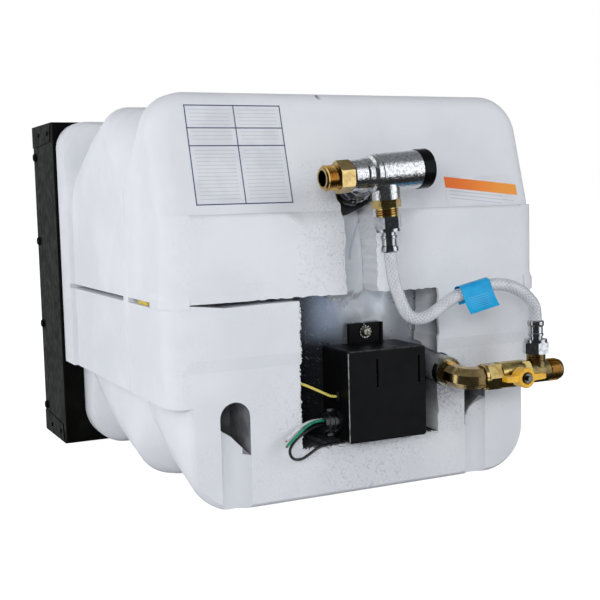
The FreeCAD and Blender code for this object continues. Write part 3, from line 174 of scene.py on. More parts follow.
def setStudio():
    scene = bpy.context.scene
    scene.view_settings.view_transform = "Standard"
    scene.view_settings.look = "None"
    world = bpy.data.worlds.new("studio")
    scene.world = world
    world.use_nodes = True
    tree = world.node_tree
    tree.nodes.clear()
    across, back, up = [place(tree, axis, "Generated") for axis in "XYZ"]
    turn, rise = sums(tree, "ARCTAN2", across, back), sums(tree, "ARCSINE", up)
    sky = mixTones(tree, remap(tree, rise, *studio["horizon"]), studio["under"], studio["around"])
    sky = mixTones(tree, remap(tree, rise, *studio["zenith"]), sky, studio["over"])
    for panel in studio["panels"].values():
        inside = times(tree, between(tree, turn, *panel["turn"]), between(tree, rise, *panel["rise"]))
        sky = mixTones(tree, inside, sky, panel["tone"])
    light = addNode(tree, "Background", {"Color": sky, "Strength": 1.0})
    seen = addNode(tree, "Background", {"Color": studio["white"], "Strength": 1.0})
    ray = addNode(tree, "LightPath", {}).outputs["Is Camera Ray"]
    both = addNode(tree, "MixShader", {0: ray, 1: light.outputs[0], 2: seen.outputs[0]})
    addNode(tree, "OutputWorld", {"Surface": both.outputs[0]})
    for name, look in studio["lamps"].items():
        addLamp(name, look)
    bpy.ops.mesh.primitive_plane_add(size=40)
    floor = bpy.context.object
    floor.name = "floor"
    finish, tree = newFinish("floorPaper", BaseColor=studio["floor"], Roughness=0.85,
                             EmissionColor=studio["white"])
    ray = addNode(tree, "LightPath", {}).outputs["Is Camera Ray"]
    plug(finish, EmissionStrength=times(tree, ray, studio["glow"]))
    floor.data.materials.append(finish)
    floor.visible_glossy = False


# What every finish is put together from. Sizes are in mm and colours are as a screen shows them, 0 to 255.
def tone(red, green, blue):
    return tuple(((value / 255 + 0.055) / 1.055) ** 2.4 for value in (red, green, blue)) + (1.0,)


def inputsOf(finish):
    # the sockets of a finish, named without their spaces
    inputs = finish.node_tree.nodes["Principled BSDF"].inputs
    return {socket.name.replace(" ", ""): socket for socket in inputs}


def newFinish(name, **sockets):
    finish = bpy.data.materials.new(name)
    finish.use_nodes = True
    for socket, value in sockets.items():
        inputsOf(finish)[socket].default_value = value
    return finish, finish.node_tree


def plug(finish, **sockets):
    for socket, value in sockets.items():
        finish.node_tree.links.new(value, inputsOf(finish)[socket])
    return finish


def addNode(tree, kind, sockets, **options):
    node = tree.nodes.new("ShaderNode" + kind)
    for option, value in options.items():
        setattr(node, option, value)
    for name, value in sockets.items():
        if isinstance(value, bpy.types.NodeSocket):
            tree.links.new(value, node.inputs[name])
        else:
            node.inputs[name].default_value = value
    return node


def where(tree, kind="Object"):
    return addNode(tree, "TexCoord", {}).outputs[kind]


def place(tree, axis, kind="Object"):
    return addNode(tree, "SeparateXYZ", {0: where(tree, kind)}).outputs[axis]


def mapped(tree, vector, stretch=(1, 1, 1), turn=(0, 0, 0)):
    return addNode(tree, "Mapping", {"Vector": vector, "Scale": stretch, "Rotation": turn}).outputs["Vector"]


def grain(tree, size, detail, stretch=(1, 1, 1), distortion=0.0, vector=None):
    vector = mapped(tree, vector or where(tree), stretch)
    return addNode(tree, "TexNoise", {"Vector": vector, "Scale": 1000 / size, "Detail": detail,
                                      "Distortion": distortion}).outputs["Fac"]


def streaks(tree, width, length, turn):
    # long thin streaks that lie across the rear, turned about the Y axis
    turned = mapped(tree, where(tree), turn=(0, turn, 0))
    return grain(tree, width, 1.5, (1, 1, width / length), vector=turned)


def cells(tree, size):
    # distance from the middle of the nearest of the cells
    return addNode(tree, "TexVoronoi", {"Vector": where(tree), "Scale": 1000 / size}).outputs["Distance"]


def remap(tree, value, low, high, newLow=0.0, newHigh=1.0):
    return addNode(tree, "MapRange", {"Value": value, "From Min": low, "From Max": high, "To Min": newLow,
                                      "To Max": newHigh}, interpolation_type="SMOOTHSTEP").outputs["Result"]


def patchy(tree, size, detail, *ranges, distortion=0.0):
    # grain sharpened into patches: the range that is taken of it, and the range it is given
    return remap(tree, grain(tree, size, detail, distortion=distortion), *ranges)


def sums(tree, operation, first, second=0.0):
    return addNode(tree, "Math", {0: first, 1: second}, operation=operation).outputs[0]


def times(tree, first, *others):
    for other in others:
        first = sums(tree, "MULTIPLY", first, other)
    return first


def most(tree, first, *others):
    for other in others:
        first = sums(tree, "MAXIMUM", first, other)
    return first


def within(tree, value, low, high):
    return times(tree, sums(tree, "GREATER_THAN", value, low), sums(tree, "LESS_THAN", value, high))


def inBox(tree, low, high):
    # one between two corners of the source, in mm
    ends = zip("XYZ", spot(*low), spot(*high))
    return times(tree, *[within(tree, place(tree, axis), start, end) for axis, start, end in ends])


def nearTo(tree, point, inner, outer):
    # one near a point of the source, in mm, and nothing beyond the outer distance
    ends = {0: where(tree), 1: spot(*point)}
    away = addNode(tree, "VectorMath", ends, operation="DISTANCE").outputs["Value"]
    return sums(tree, "SUBTRACT", 1.0, remap(tree, away, inner / 1000, outer / 1000))


def mixTones(tree, share, first, second):
    return addNode(tree, "Mix", {0: share, 6: first, 7: second}, data_type="RGBA").outputs[2]


def paintOver(finish, share, over):
    # a colour laid over a finish that is done, by a share from its own nodes
    under = inputsOf(finish)["BaseColor"].links[0].from_socket
    return plug(finish, BaseColor=mixTones(finish.node_tree, share, under, over))


def relief(tree, *layers):
    # bumps laid over each other, each a pattern and its depth in mm
    normal = None
    for height, depth in layers:
        sockets = {"Height": height, "Distance": depth / 1000, "Strength": 1.0}
        if normal is not None:
            sockets["Normal"] = normal
        normal = addNode(tree, "Bump", sockets).outputs["Normal"]
    return normal


def foamFinish():
    look = {
        "light": tone(232, 234, 238), "shade": tone(224, 227, 232), "pit": tone(138, 142, 150),
        # two greys of painted shade, each uneven in blotches
        "soot": (tone(70, 71, 75), tone(104, 105, 110)), "smoke": (tone(116, 117, 122), tone(146, 147, 152)),
        "bead": 2.1, "beadDepth": 0.3, "fine": 0.8, "fineDepth": 0.05, "swell": 45, "swellDepth": 0.35,
        # where the beads show most: a point, and the distances between which they fade
        "beady": (((16, 190, 250), 25, 75), ((-108, 190, 84), 22, 62), ((70, 190, 70), 10, 60),
                  ((0, 190, 35), 20, 110), ((-86, 187, 90), 12, 34)),
        # painted shade on the foot of the opening, under the box, and inside the two arches
        "sill": ((-80, 120, 40), (75.5, 184.2, 47)),
        "arches": (((125, 120, 40), (162, 174.4, 102)), ((126, 120, 48), (134, 186.6, 102)),
                   ((126, 120, 76), (162, 186.6, 102)), ((-140, 120, 40), (-110, 174.4, 98)),
                   ((-118, 120, 48), (-110, 186.6, 98)), ((-140, 120, 76), (-110, 186.6, 98))),
        # painted shade on the wall above and below the inlet nipple: its corners, and how it darkens along an
        # axis, in metres
        "walls": (((-82, 140, 120), (-73, 186.6, 196), "Y", (0.166, 0.187, 0.1, 0.85)),
                  ((-82, 140, 60), (-73, 186.6, 120), "Z", (0.064, 0.100, 0.1, 0.9))),
        # painted shadow of the nipple on the face below it: a point, and the distances between which it fades
        "underNipple": ((-86, 187, 94), 4, 34),
    }
    finish, tree = newFinish("mouldedFoam", SpecularIORLevel=0.28)
    bead = cells(tree, look["bead"])
    dome = remap(tree, bead, 0.1, 0.75, 1, 0)
    rear = remap(tree, place(tree, "Y"), 0.176, 0.188, 0.35, 1.0)
    amount = times(tree, patchy(tree, 60, 4, 0.42, 0.62, 0.25, 1.0), rear, 0.45)
    amount = most(tree, amount, *[nearTo(tree, *zone) for zone in look["beady"]])
    soot, smoke = [mixTones(tree, patchy(tree, 12, 4, 0.35, 0.65), *look[name]) for name in ("soot", "smoke")]
    colour = mixTones(tree, patchy(tree, 90, 4, 0.35, 0.65), look["shade"], look["light"])
    # painted shade in the hollows between the beads, strongest where they stand out most
    pit = times(tree, remap(tree, bead, 0.6, 0.9), sums(tree, "POWER", amount, 1.6), 0.3)
    colour = mixTones(tree, pit, colour, look["pit"])
    # painted shade at the foot of the opening, inside the arches and on the nipple's wall
    colour = mixTones(tree, inBox(tree, *look["sill"]), colour, soot)
    for corners in look["arches"]:
        colour = mixTones(tree, inBox(tree, *corners), colour, smoke)
    for low, high, axis, darkening in look["walls"]:
        share = times(tree, inBox(tree, low, high), remap(tree, place(tree, axis), *darkening))
        colour = mixTones(tree, share, colour, soot)
    # the nipple's painted shadow, dotted by the beads
    shadow = times(tree, nearTo(tree, *look["underNipple"]), remap(tree, bead, 0.2, 0.7, 0.4, 0.85))
    colour = mixTones(tree, shadow, colour, smoke)
    normal = relief(tree, (grain(tree, look["swell"], 2), look["swellDepth"]),
                    (grain(tree, look["fine"], 4), look["fineDepth"]),
                    (times(tree, dome, amount), look["beadDepth"]))
    return plug(finish, BaseColor=colour, Normal=normal, Roughness=patchy(tree, 12, 3, 0.3, 0.7, 0.52, 0.72))


def metalFinish(name, bright, dull, smooth, rough, blotch, tool=None, pits=None):
    # a bare or plated metal: two shades in blotches, with tool marks of a size, depth and stretch, and cast
    # pits of a size and depth
    finish, tree = newFinish(name, Metallic=1.0)
    patches = patchy(tree, blotch, 5, 0.38, 0.66, distortion=0.4)
    layers = [(grain(tree, blotch, 2), 0.04)]
    if tool:
        size, depth, stretch = tool
        layers.append((grain(tree, size, 2, stretch), depth))
    if pits:
        size, depth = pits
        layers.append((grain(tree, size, 4), depth))
    return plug(finish, BaseColor=mixTones(tree, patches, tone(*bright), tone(*dull)),
                Roughness=patchy(tree, blotch / 3, 4, 0.3, 0.7, smooth, rough), Normal=relief(tree, *layers))


def plasticFinish(name, colour, worn, smooth, rough, texture, depth, coat=0.0, blotch=20, shine=0.5):
    # moulded or painted: a body colour with rubbed patches, an even grain and uneven gloss
    finish, tree = newFinish(name, CoatWeight=coat, CoatRoughness=0.12, SpecularIORLevel=shine)
    patches = patchy(tree, blotch, 5, 0.5, 0.78)
    return plug(finish, BaseColor=mixTones(tree, patches, tone(*colour), tone(*worn)),
                Roughness=patchy(tree, blotch / 2, 4, 0.3, 0.7, smooth, rough),
                Normal=relief(tree, (grain(tree, texture, 3), depth)))


def boxFinish():
    # black plastic with a painted highlight along one upright front edge and along the upper rim
    look = {"rubbed": tone(176, 177, 180),
            # each painted highlight's corners, and how strong it is
            "edges": (((32.3, 205.0, 50), (34, 207, 141), 0.8), ((-56, 204.8, 139), (34, 207, 141), 0.16))}
    finish = plasticFinish("boxPlastic", (14, 14, 15), (20, 20, 22), 0.28, 0.4, 1.1, 0.04, shine=0.08)
    tree = finish.node_tree
    worn = patchy(tree, 5, 3, 0.3, 0.6, 0.35, 1.0)
    # a painted highlight on each edge, broken into patches
    for low, high, share in look["edges"]:
        paintOver(finish, times(tree, inBox(tree, low, high), worn, share), look["rubbed"])
    return finish


def forgedFinish(name):
    return metalFinish(name, (216, 188, 130), (186, 158, 102), 0.14, 0.24, 9, pits=(1.4, 0.01))


def outletFinish():
    # forged brass whose thread has dark grooves
    look = {"groove": tone(92, 68, 42), "share": 0.9, "thread": ((49.6, 205, 290), (59.9, 231, 320))}
    finish = forgedFinish("outletBrass")
    tree = finish.node_tree
    return paintOver(finish, times(tree, inBox(tree, *look["thread"]), look["share"]), look["groove"])


def tankFinish():
    look = {
        "bright": tone(216, 220, 226), "dull": tone(194, 199, 207), "stain": tone(150, 154, 160),
        # painted shade low down, a painted blue reflection and a painted dark reflection
        "low": tone(128, 133, 140), "blue": tone(154, 168, 188), "dark": tone(84, 84, 88),
        "shadow": tone(40, 41, 44), "scratch": tone(242, 244, 247),
        # ranges of height and of place across, in metres, that each shade takes: painted shade low down,
        # painted blue and dark reflections across
        "lowRise": (0.186, 0.166, 0, 0.85), "lowAcross": (-0.05, 0.0, 0.1, 1),
        "blueAcross": (-0.002, 0.03, 0, 0.9), "darkAcross": (0.030, 0.062),
        # in shadow below and beside the box
        "footRise": (0.158, 0.142, 0, 0.9), "footAcross": (0.0, 0.03),
        "cornerRise": (0.124, 0.112, 0, 0.85), "cornerAcross": (-0.03, -0.05),
        "scratchSize": (0.5, 14), "scratchTurns": (0.5, -0.9, 1.4),
    }
    finish, tree = newFinish("tankAluminium", Metallic=0.6)
    across, rise = place(tree, "X"), place(tree, "Z")

    def zone(name):
        tall = remap(tree, rise, *look[name + "Rise"])
        return times(tree, tall, remap(tree, across, *look[name + "Across"]))

    colour = mixTones(tree, patchy(tree, 28, 5, 0.35, 0.7, distortion=0.6), look["bright"], look["dull"])
    colour = mixTones(tree, patchy(tree, 9, 6, 0.6, 0.8, 0, 0.2), colour, look["stain"])
    # painted shade low down, then painted blue and dark reflections across the tank
    colour = mixTones(tree, zone("low"), colour, look["low"])
    for name in ("blue", "dark"):
        colour = mixTones(tree, remap(tree, across, *look[name + "Across"]), colour, look[name])
    colour = mixTones(tree, most(tree, zone("foot"), zone("corner")), colour, look["shadow"])
    scratches = [streaks(tree, *look["scratchSize"], turn) for turn in look["scratchTurns"]]
    scratch = most(tree, *[remap(tree, one, 0.70, 0.78) for one in scratches])
    colour = mixTones(tree, scratch, colour, look["scratch"])
    normal = relief(tree, (grain(tree, 1.1, 2, (1, 1, 0.12)), 0.03), (grain(tree, 60, 2), 0.25),
                    (scratch, 0.05))
    return plug(finish, BaseColor=colour, Normal=normal, Roughness=patchy(tree, 16, 4, 0.3, 0.7, 0.26, 0.40))


def castFinish():
    # chrome over a sand-cast body, pebbled all over
    look = {"bright": tone(228, 229, 230), "dull": tone(196, 197, 198), "pebble": 1.4, "pebbleDepth": 0.1}
    finish, tree = newFinish("castChrome", Metallic=1.0)
    pebble = remap(tree, cells(tree, look["pebble"]), 0.0, 0.7, 1, 0)
    colour = mixTones(tree, patchy(tree, 2.5, 4, 0.4, 0.7), look["bright"], look["dull"])
    return plug(finish, BaseColor=colour,
                Normal=relief(tree, (grain(tree, 6, 2), 0.02), (pebble, look["pebbleDepth"])),
                Roughness=patchy(tree, 4, 4, 0.3, 0.7, 0.12, 0.22))


def paperFinish():
    # blank forms: white paper with a thin ruled frame, and a coloured band on the wide one
    look = {
        "paper": tone(226, 228, 233), "grey": tone(216, 218, 224), "frame": tone(58, 68, 108),
        "rule": tone(150, 156, 172), "band": tone(243, 118, 36), "pale": tone(247, 160, 62),
        # framed form, in mm across and up the slanted face: its lines, and the rules in its fields
        "sides": (171.4, 122.6, 74.6), "rows": (105.4, 83.3, 66.0, 9.6), "line": 1.1, "from": 60.0,
        "ruleGap": 3.6, "sideGap": 9.0, "rowGap": 6.5,
        # wide form, stuck on askew: its band's middle and height, and each rule's height and end
        "to": -98.0, "turnedAt": -99.5, "askew": 0.115, "bandAt": (26.2, 11.6), "fade": (-185, -105),
        "ruleStart": -104, "rules": ((17.6, -168), (13.8, -181), (10.0, -166)),
    }
    finish, tree = newFinish("blankForms", Roughness=0.55)
    across = times(tree, place(tree, "X"), 1000)
    foot = spot(0, 0, rearFace["slantFrom"]).z
    rise = times(tree, sums(tree, "SUBTRACT", place(tree, "Z"), foot), 1000 / math.cos(rearFace["slant"]))

    def near(value, line, width):
        return sums(tree, "LESS_THAN", sums(tree, "ABSOLUTE", sums(tree, "SUBTRACT", value, line)), width / 2)

    def off(value, line, width):
        return sums(tree, "SUBTRACT", 1.0, near(value, line, width))

    frameLines = most(tree, *[near(across, line, look["line"]) for line in look["sides"]],
                      *[near(rise, line, look["line"]) for line in look["rows"]])
    left = sums(tree, "GREATER_THAN", across, look["from"])
    colour = mixTones(tree, patchy(tree, 30, 4, 0.4, 0.65), look["paper"], look["grey"])
    # faint rules in each blank field, a little short of its sides
    phase = sums(tree, "FRACT", sums(tree, "DIVIDE", rise, look["ruleGap"]))
    rules = times(tree, sums(tree, "LESS_THAN", phase, 0.22), left,
                  *[off(across, line, look["sideGap"]) for line in look["sides"]],
                  *[off(rise, line, look["rowGap"]) for line in look["rows"]])
    colour = mixTones(tree, times(tree, rules, 0.35), colour, look["rule"])
    colour = mixTones(tree, times(tree, frameLines, left), colour, look["frame"])
    fall = times(tree, sums(tree, "SUBTRACT", look["turnedAt"], across), look["askew"])
    level = sums(tree, "ADD", rise, fall)
    band = times(tree, near(level, *look["bandAt"]), sums(tree, "LESS_THAN", across, look["to"]))
    orange = mixTones(tree, remap(tree, across, *look["fade"]), look["pale"], look["band"])
    colour = mixTones(tree, band, colour, orange)
    start = look["ruleStart"]
    for line, end in look["rules"]:
        rule = times(tree, near(level, line, 0.9), near(across, (start + end) / 2, start - end))
        colour = mixTones(tree, times(tree, rule, 0.4), colour, look["rule"])
    return plug(finish, BaseColor=colour, Normal=relief(tree, (grain(tree, 25, 3), 0.12)))


def hoseFinish():
    # clear sleeve over a white braid, which follows the hose by its UV map
    look = {"strand": tone(240, 242, 246), "gap": tone(176, 180, 188), "around": 10.0, "along": 1.0}
    finish, tree = newFinish("clearBraidedHose", Roughness=0.26, CoatWeight=0.6, CoatRoughness=0.08)
    around = times(tree, place(tree, "X", "UV"), look["around"] * 2 * math.pi)
    along = times(tree, place(tree, "Y", "UV"), look["along"] * 2 * math.pi)
    waves = [sums(tree, "SINE", sums(tree, way, around, along)) for way in ("ADD", "SUBTRACT")]
    braid = most(tree, *[remap(tree, wave, 0.55, 0.95) for wave in waves])
    milky = patchy(tree, 14, 3, 0.35, 0.65, 0.0, 0.35)
    return plug(finish, BaseColor=mixTones(tree, most(tree, braid, milky), look["gap"], look["strand"]),
                Normal=relief(tree, (braid, 0.12)))


def tagFinish():
    # blue tag: plain, with the pale rules of an empty form
    look = {"blue": tone(22, 172, 228), "deep": tone(16, 156, 219), "rule": tone(160, 212, 240),
            "rules": 26.0, "width": 0.16, "down": (0.70, 0.93), "side": (0.12, 0.82), "share": 0.55}
    finish, tree = newFinish("blueTag", Roughness=0.42, CoatWeight=0.25, CoatRoughness=0.2)
    down, side = place(tree, "X", "UV"), place(tree, "Y", "UV")
    line = sums(tree, "LESS_THAN", sums(tree, "FRACT", times(tree, down, look["rules"])), look["width"])
    field = times(tree, within(tree, down, *look["down"]), within(tree, side, *look["side"]))
    colour = mixTones(tree, patchy(tree, 14, 4, 0.4, 0.7), look["blue"], look["deep"])
    colour = mixTones(tree, times(tree, line, field, look["share"]), colour, look["rule"])
    return plug(finish, BaseColor=colour, Normal=relief(tree, (grain(tree, 9, 3), 0.1)))


def wireFinish(name, colour, shade, stripe=None):
    finish, tree = newFinish(name, CoatWeight=0.3, CoatRoughness=0.1)
    colour = mixTones(tree, patchy(tree, 6, 3, 0.35, 0.7), tone(*colour), tone(*shade))
    if stripe:
        pitch = 0.0026                   # metres from stripe to stripe
        run = sums(tree, "ADD", place(tree, "X"), times(tree, place(tree, "Z"), 0.6))
        band = remap(tree, sums(tree, "SINE", times(tree, run, 2 * math.pi / pitch)), 0.1, 0.5)
        colour = mixTones(tree, band, colour, tone(*stripe))
    return plug(finish, BaseColor=colour, Normal=relief(tree, (grain(tree, 1.4, 2), 0.05)),
                Roughness=patchy(tree, 3, 3, 0.3, 0.7, 0.24, 0.42))


# The jacket's rear face in mm: upright up to a height, then slanted forward by an angle
rearFace = {"depth": 187, "step": 3, "stepFrom": 130, "stepOver": 12,
            "slantFrom": 275, "slantDepth": 181.5, "slant": math.radians(15.5)}

finishes = {
    "foam": foamFinish(),
    "foam_skin": plasticFinish("foamSkin", (224, 229, 236), (236, 239, 244), 0.34, 0.5, 2.4, 0.1, blotch=16),
    "tank_metal": tankFinish(),
    "pan_black": plasticFinish("panPaint", (12, 12, 11), (23, 23, 21), 0.45, 0.6, 1.8, 0.07, shine=0.04),
    "chrome_plate": metalFinish("polishedChrome", (198, 199, 202), (160, 161, 165), 0.06, 0.16, 5),
    # a darker copy of the chrome: painted shade on the handle nut and stem
    "dark_nut": metalFinish("darkNut", (112, 113, 112), (80, 81, 80), 0.2, 0.34, 4),
    "valve_body": castFinish(),
    "outlet_brass": outletFinish(),
    "brass_metal": metalFinish("machinedBrass", (218, 194, 126), (182, 152, 88), 0.12, 0.28, 8,
                               tool=(0.5, 0.015, (1, 0.1, 1))),
    "brass_thread": metalFinish("cutBrass", (220, 182, 108), (196, 152, 82), 0.12, 0.24, 9),
    "brass_forged": forgedFinish("forgedBrass"),
    "brass_cast": metalFinish("castBrass", (150, 132, 90), (110, 94, 60), 0.28, 0.42, 7, pits=(1.2, 0.03)),
    "cap_black": plasticFinish("capPlastic", (12, 12, 14), (19, 19, 22), 0.12, 0.22, 3.0, 0.03, shine=0.10),
    "hose_clear": hoseFinish(),
    "flag_blue": tagFinish(),
    "handle_yellow": plasticFinish("handlePaint", (246, 188, 34), (226, 158, 20), 0.28, 0.42, 2.2, 0.08,
                                   coat=0.3, blotch=9),
    "zinc_steel": metalFinish("zincPlate", (206, 204, 188), (160, 156, 140), 0.22, 0.42, 6,
                              tool=(0.6, 0.02, (1, 1, 1))),
    "pipe_grey": plasticFinish("greyPipe", (138, 140, 144), (112, 114, 118), 0.26, 0.4, 0.9, 0.03, shine=0.8),
    "box_black": boxFinish(),
    "clamp_black": plasticFinish("clampNylon", (16, 16, 18), (26, 26, 29), 0.12, 0.24, 2.0, 0.04, blotch=8,
                                 shine=0.6),
    "wire_yellow": wireFinish("yellowWire", (240, 220, 66), (226, 202, 56), stripe=(250, 240, 160)),
    "wire_green": wireFinish("greenWire", (20, 146, 110), (14, 120, 92)),
    "wire_white": wireFinish("whiteWire", (226, 228, 230), (206, 208, 212)),
    "wire_black": wireFinish("blackWire", (20, 20, 22), (30, 30, 32)),
    "copper": metalFinish("copperStrand", (214, 140, 104), (168, 100, 70), 0.2, 0.34, 3),
    "steel_plain": metalFinish("plainSteel", (176, 178, 182), (132, 134, 139), 0.3, 0.5, 14,
                               tool=(0.8, 0.03, (1, 1, 0.1))),
    "gasket_rubber": plasticFinish("gasketRubber", (24, 24, 25), (40, 40, 41), 0.7, 0.85, 1.0, 0.06),
    "sheet_paper": paperFinish(),
    "valve_cast": metalFinish("dieCast", (168, 171, 176), (126, 129, 134), 0.34, 0.52, 10, pits=(0.9, 0.06)),
    "ceramic_white": plasticFinish("glazedCeramic", (232, 230, 222), (214, 210, 200), 0.12, 0.24, 2.0, 0.02,
                                   coat=0.5),
    "fibre": plasticFinish("yellowFibre", (222, 200, 96), (240, 226, 150), 0.8, 0.95, 0.7, 0.3, blotch=3),
}
print(len(finishes), "finishes made")


def finishNodes():
    # every CAD node takes the finish of its slot, apart from these
    special = {"mixing_valve_body": "valve_body", "inlet_elbow": "brass_forged", "inlet_tee": "brass_cast",
               "bypass_stem": "dark_nut", "handle_nut": "dark_nut", "mixed_outlet_nipple": "outlet_brass"}
    for name, node in nodes.items():
        slotName = node.material_slots[0].material.name
        node.material_slots[0].material = finishes[special.get(name, slotName)]


# Cords: the routes' points are the CAD source's
hoseLook = {
    "route": ((-8.426, 218, 234.873), (-10.293, 218, 209.140), (-17.5, 220.5, 187), (-23.5, 222, 172.5),
              (-37, 224, 167.8), (-52, 226, 174), (-70, 228, 186.5), (-92, 230.5, 194.5),
              (-116, 232.5, 198.8), (-137, 233, 196), (-153.5, 232, 188), (-165, 231, 178),
              (-170.5, 230, 170), (-170.5, 230, 157.9)),
    "diameter": 12.5, "length": 245.3, "sides": 28,
    "rib": 2.4, "ribDepth": 0.28, "cuts": 3, "crest": (0.1, 0.9),     # crest: its share of the rib's length
}
wires = {
    "yellow": {"route": ((33.5, 183, 94), (39.5, 183, 94), (47.5, 181.6, 98), (58, 179.4, 103.5),
                         (68.5, 177.4, 108.5), (79, 176, 112.5)), "length": 50.9, "end": "object"},
    "green": {"route": ((47, 186.4, 72.6), (58, 186.4, 72.6), (66, 189.8, 72.2), (74.5, 193.6, 69.6),
                        (83.5, 197.6, 65), (91.5, 200.4, 60.5), (98.5, 202.2, 55.5)),
              "length": 58.4, "end": "bare"},
    "white": {"route": ((47, 182.6, 72.6), (58, 182.6, 72.6), (66, 185.8, 72.8), (74.5, 189.8, 71.6),
                        (82.5, 193.6, 68.6), (90.5, 196.4, 64.5), (97, 198.6, 60)),
              "length": 55.9, "end": "bare"},
    "black": {"route": ((47, 184.6, 67.6), (58, 184.6, 67.6), (67, 188.6, 66.2), (77, 193.4, 63.6),
                        (87, 196.6, 59), (94.5, 197.6, 50.5), (91, 197.2, 41.4), (81, 196.6, 39.4),
                        (70, 195, 44.2), (58, 190.5, 48.6), (47, 186, 48.2), (36, 184, 47.5),
                        (25, 183, 47.3)),
              "length": 132.4, "end": "object"},
}
wireDiameter = 2.8


def drawLine(name, points, dimensions="3D", resolution=16):
    line = bpy.data.curves.new(name, "CURVE")
    line.dimensions = dimensions
    line.resolution_u = resolution
    spline = line.splines.new("NURBS")
    spline.points.add(len(points) - 1)
    for knot, point in zip(spline.points, points):
        knot.co = (*point, 1)
    spline.order_u = 3
    spline.use_endpoint_u = True
    drawn = bpy.data.objects.new(name, line)
    bpy.context.scene.collection.objects.link(drawn)
    return drawn


def drawRoute(name, points):
    return drawLine(name, [spot(*point) for point in points])


def readRoute(route):
    # the points along a route, and how long it is
    line = bpy.data.meshes.new_from_object(route)
    points = [vertex.co.copy() for vertex in line.vertices]
    bpy.data.meshes.remove(line)
    return points, sum((after - before).length for before, after in zip(points, points[1:]))


def pickOnly(piece, kind, wanted):
    # goes to edit mode with only the wanted of a piece's edges or vertices selected
    bpy.ops.object.mode_set(mode="EDIT")
    bpy.ops.mesh.select_mode(type=kind)
    bpy.ops.mesh.select_all(action="DESELECT")
    bpy.ops.object.mode_set(mode="OBJECT")
    for part in piece.data.edges if kind == "EDGE" else piece.data.vertices:
        part.select = wanted(part)
    bpy.ops.object.mode_set(mode="EDIT")


def makeHose():
    # one rib of the sleeve, repeated along the route
    look = hoseLook
    route = drawRoute("hoseRoute", look["route"])
    points, run = readRoute(route)
    ribs = round(run * 1000 / look["rib"])
    pitch = run / ribs
    crest = look["diameter"] / 2000
    valley = crest - look["ribDepth"] / 1000
    bpy.ops.mesh.primitive_cylinder_add(vertices=look["sides"], radius=valley, depth=pitch,
                                        end_fill_type="NOTHING", location=(0, 0, pitch / 2))
    hose = bpy.context.object
    bpy.ops.object.transform_apply()

    def upright(edge):
        foot, head = [hose.data.vertices[k].co.z for k in edge.vertices]
        return abs(foot - head) > pitch / 2

    pickOnly(hose, "EDGE", upright)
    bpy.ops.mesh.subdivide(number_cuts=look["cuts"])
    low, high = look["crest"]
    pickOnly(hose, "VERT", lambda vertex: low * pitch < vertex.co.z < high * pitch)
    swell = crest / valley
    bpy.ops.transform.resize(value=(swell, swell, 1), center_override=(0, 0, pitch / 2))
    bpy.ops.object.mode_set(mode="OBJECT")
    applyModifier(hose, "ARRAY", count=ribs, relative_offset_displace=(0, 0, 1), offset_v=0.5,
                  use_merge_vertices=True, merge_threshold=0.00005)
    applyModifier(hose, "CURVE", object=route, deform_axis="POS_Z")
    editAll(bpy.ops.mesh.fill_holes, sides=0)
    editAll(bpy.ops.mesh.normals_make_consistent, inside=False)
    bpy.ops.object.shade_smooth()
    dress(hose, "braidedHose", finishes["hose_clear"])
    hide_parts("hose")
    bpy.data.objects.remove(route)


def makeWires():
    for colour, wire in wires.items():
        cable = drawRoute(colour + "Wire", wire["route"])
        cable.data.bevel_depth = wireDiameter / 2000
        cable.data.bevel_resolution = 5
        cable.data.use_fill_caps = True
        dress(cable, colour + "Wire", finishes["wire_" + colour])
        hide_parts("wire_" + colour)
        extra = []
        if wire["end"] == "bare":
            before, tip = [spot(*point) for point in wire["route"][-2:]]
            extra = [makeStrands(colour + "Strands", tip, tip - before)]


# The bared end of a wire: a twist of fine copper strands, one in the middle and six in a ring
strandLook = {"count": 7, "radius": 0.3, "sides": 10, "edge": 0.06, "ring": 0.55,
              "length": 1.3, "inside": 1.0}


def makeStrands(name, tip, along):
    look = strandLook
    depth = (look["length"] + look["inside"]) / 1000
    strands = []
    for turn in range(look["count"]):
        angle = turn * 2 * math.pi / (look["count"] - 1)
        away = look["ring"] / 1000 if turn else 0
        middle = (away * math.cos(angle), away * math.sin(angle), depth / 2 - look["inside"] / 1000)
        bpy.ops.mesh.primitive_cylinder_add(vertices=look["sides"], radius=look["radius"] / 1000, depth=depth,
                                            location=middle)
        strands.append(bpy.context.object)
        editAll(bpy.ops.mesh.bevel, offset=look["edge"] / 1000, segments=1, affect="EDGES")
    bundle = joinAll(strands)
    settle(bundle, tip, along)
    return dress(bundle, name, finishes["copper"])


# Paper tag folded round the hose
tagLook = {
    "low": (-78.6, 229.1, 190.3), "high": (-110.2, 232.2, 197.6), "front": (0.56, 0.82, 0.09), "gap": 0.5,
    "thick": 0.35, "cells": (72, 14), "crease": 40,
    # the folded sheet seen along the hose, from its short back leaf over the top to its front leaf: how far
    # to the front and down, in radii of the ring that it makes
    "outline": ((-1.05, 1.5), (-1.12, 0.8), (-1.22, -0.3), (-0.75, -1.12), (0.2, -1.22), (1.08, -0.9),
                (1.22, 0.1), (1.14, 1.3), (1.3, 2.3), (1.75, 3.25)),
}


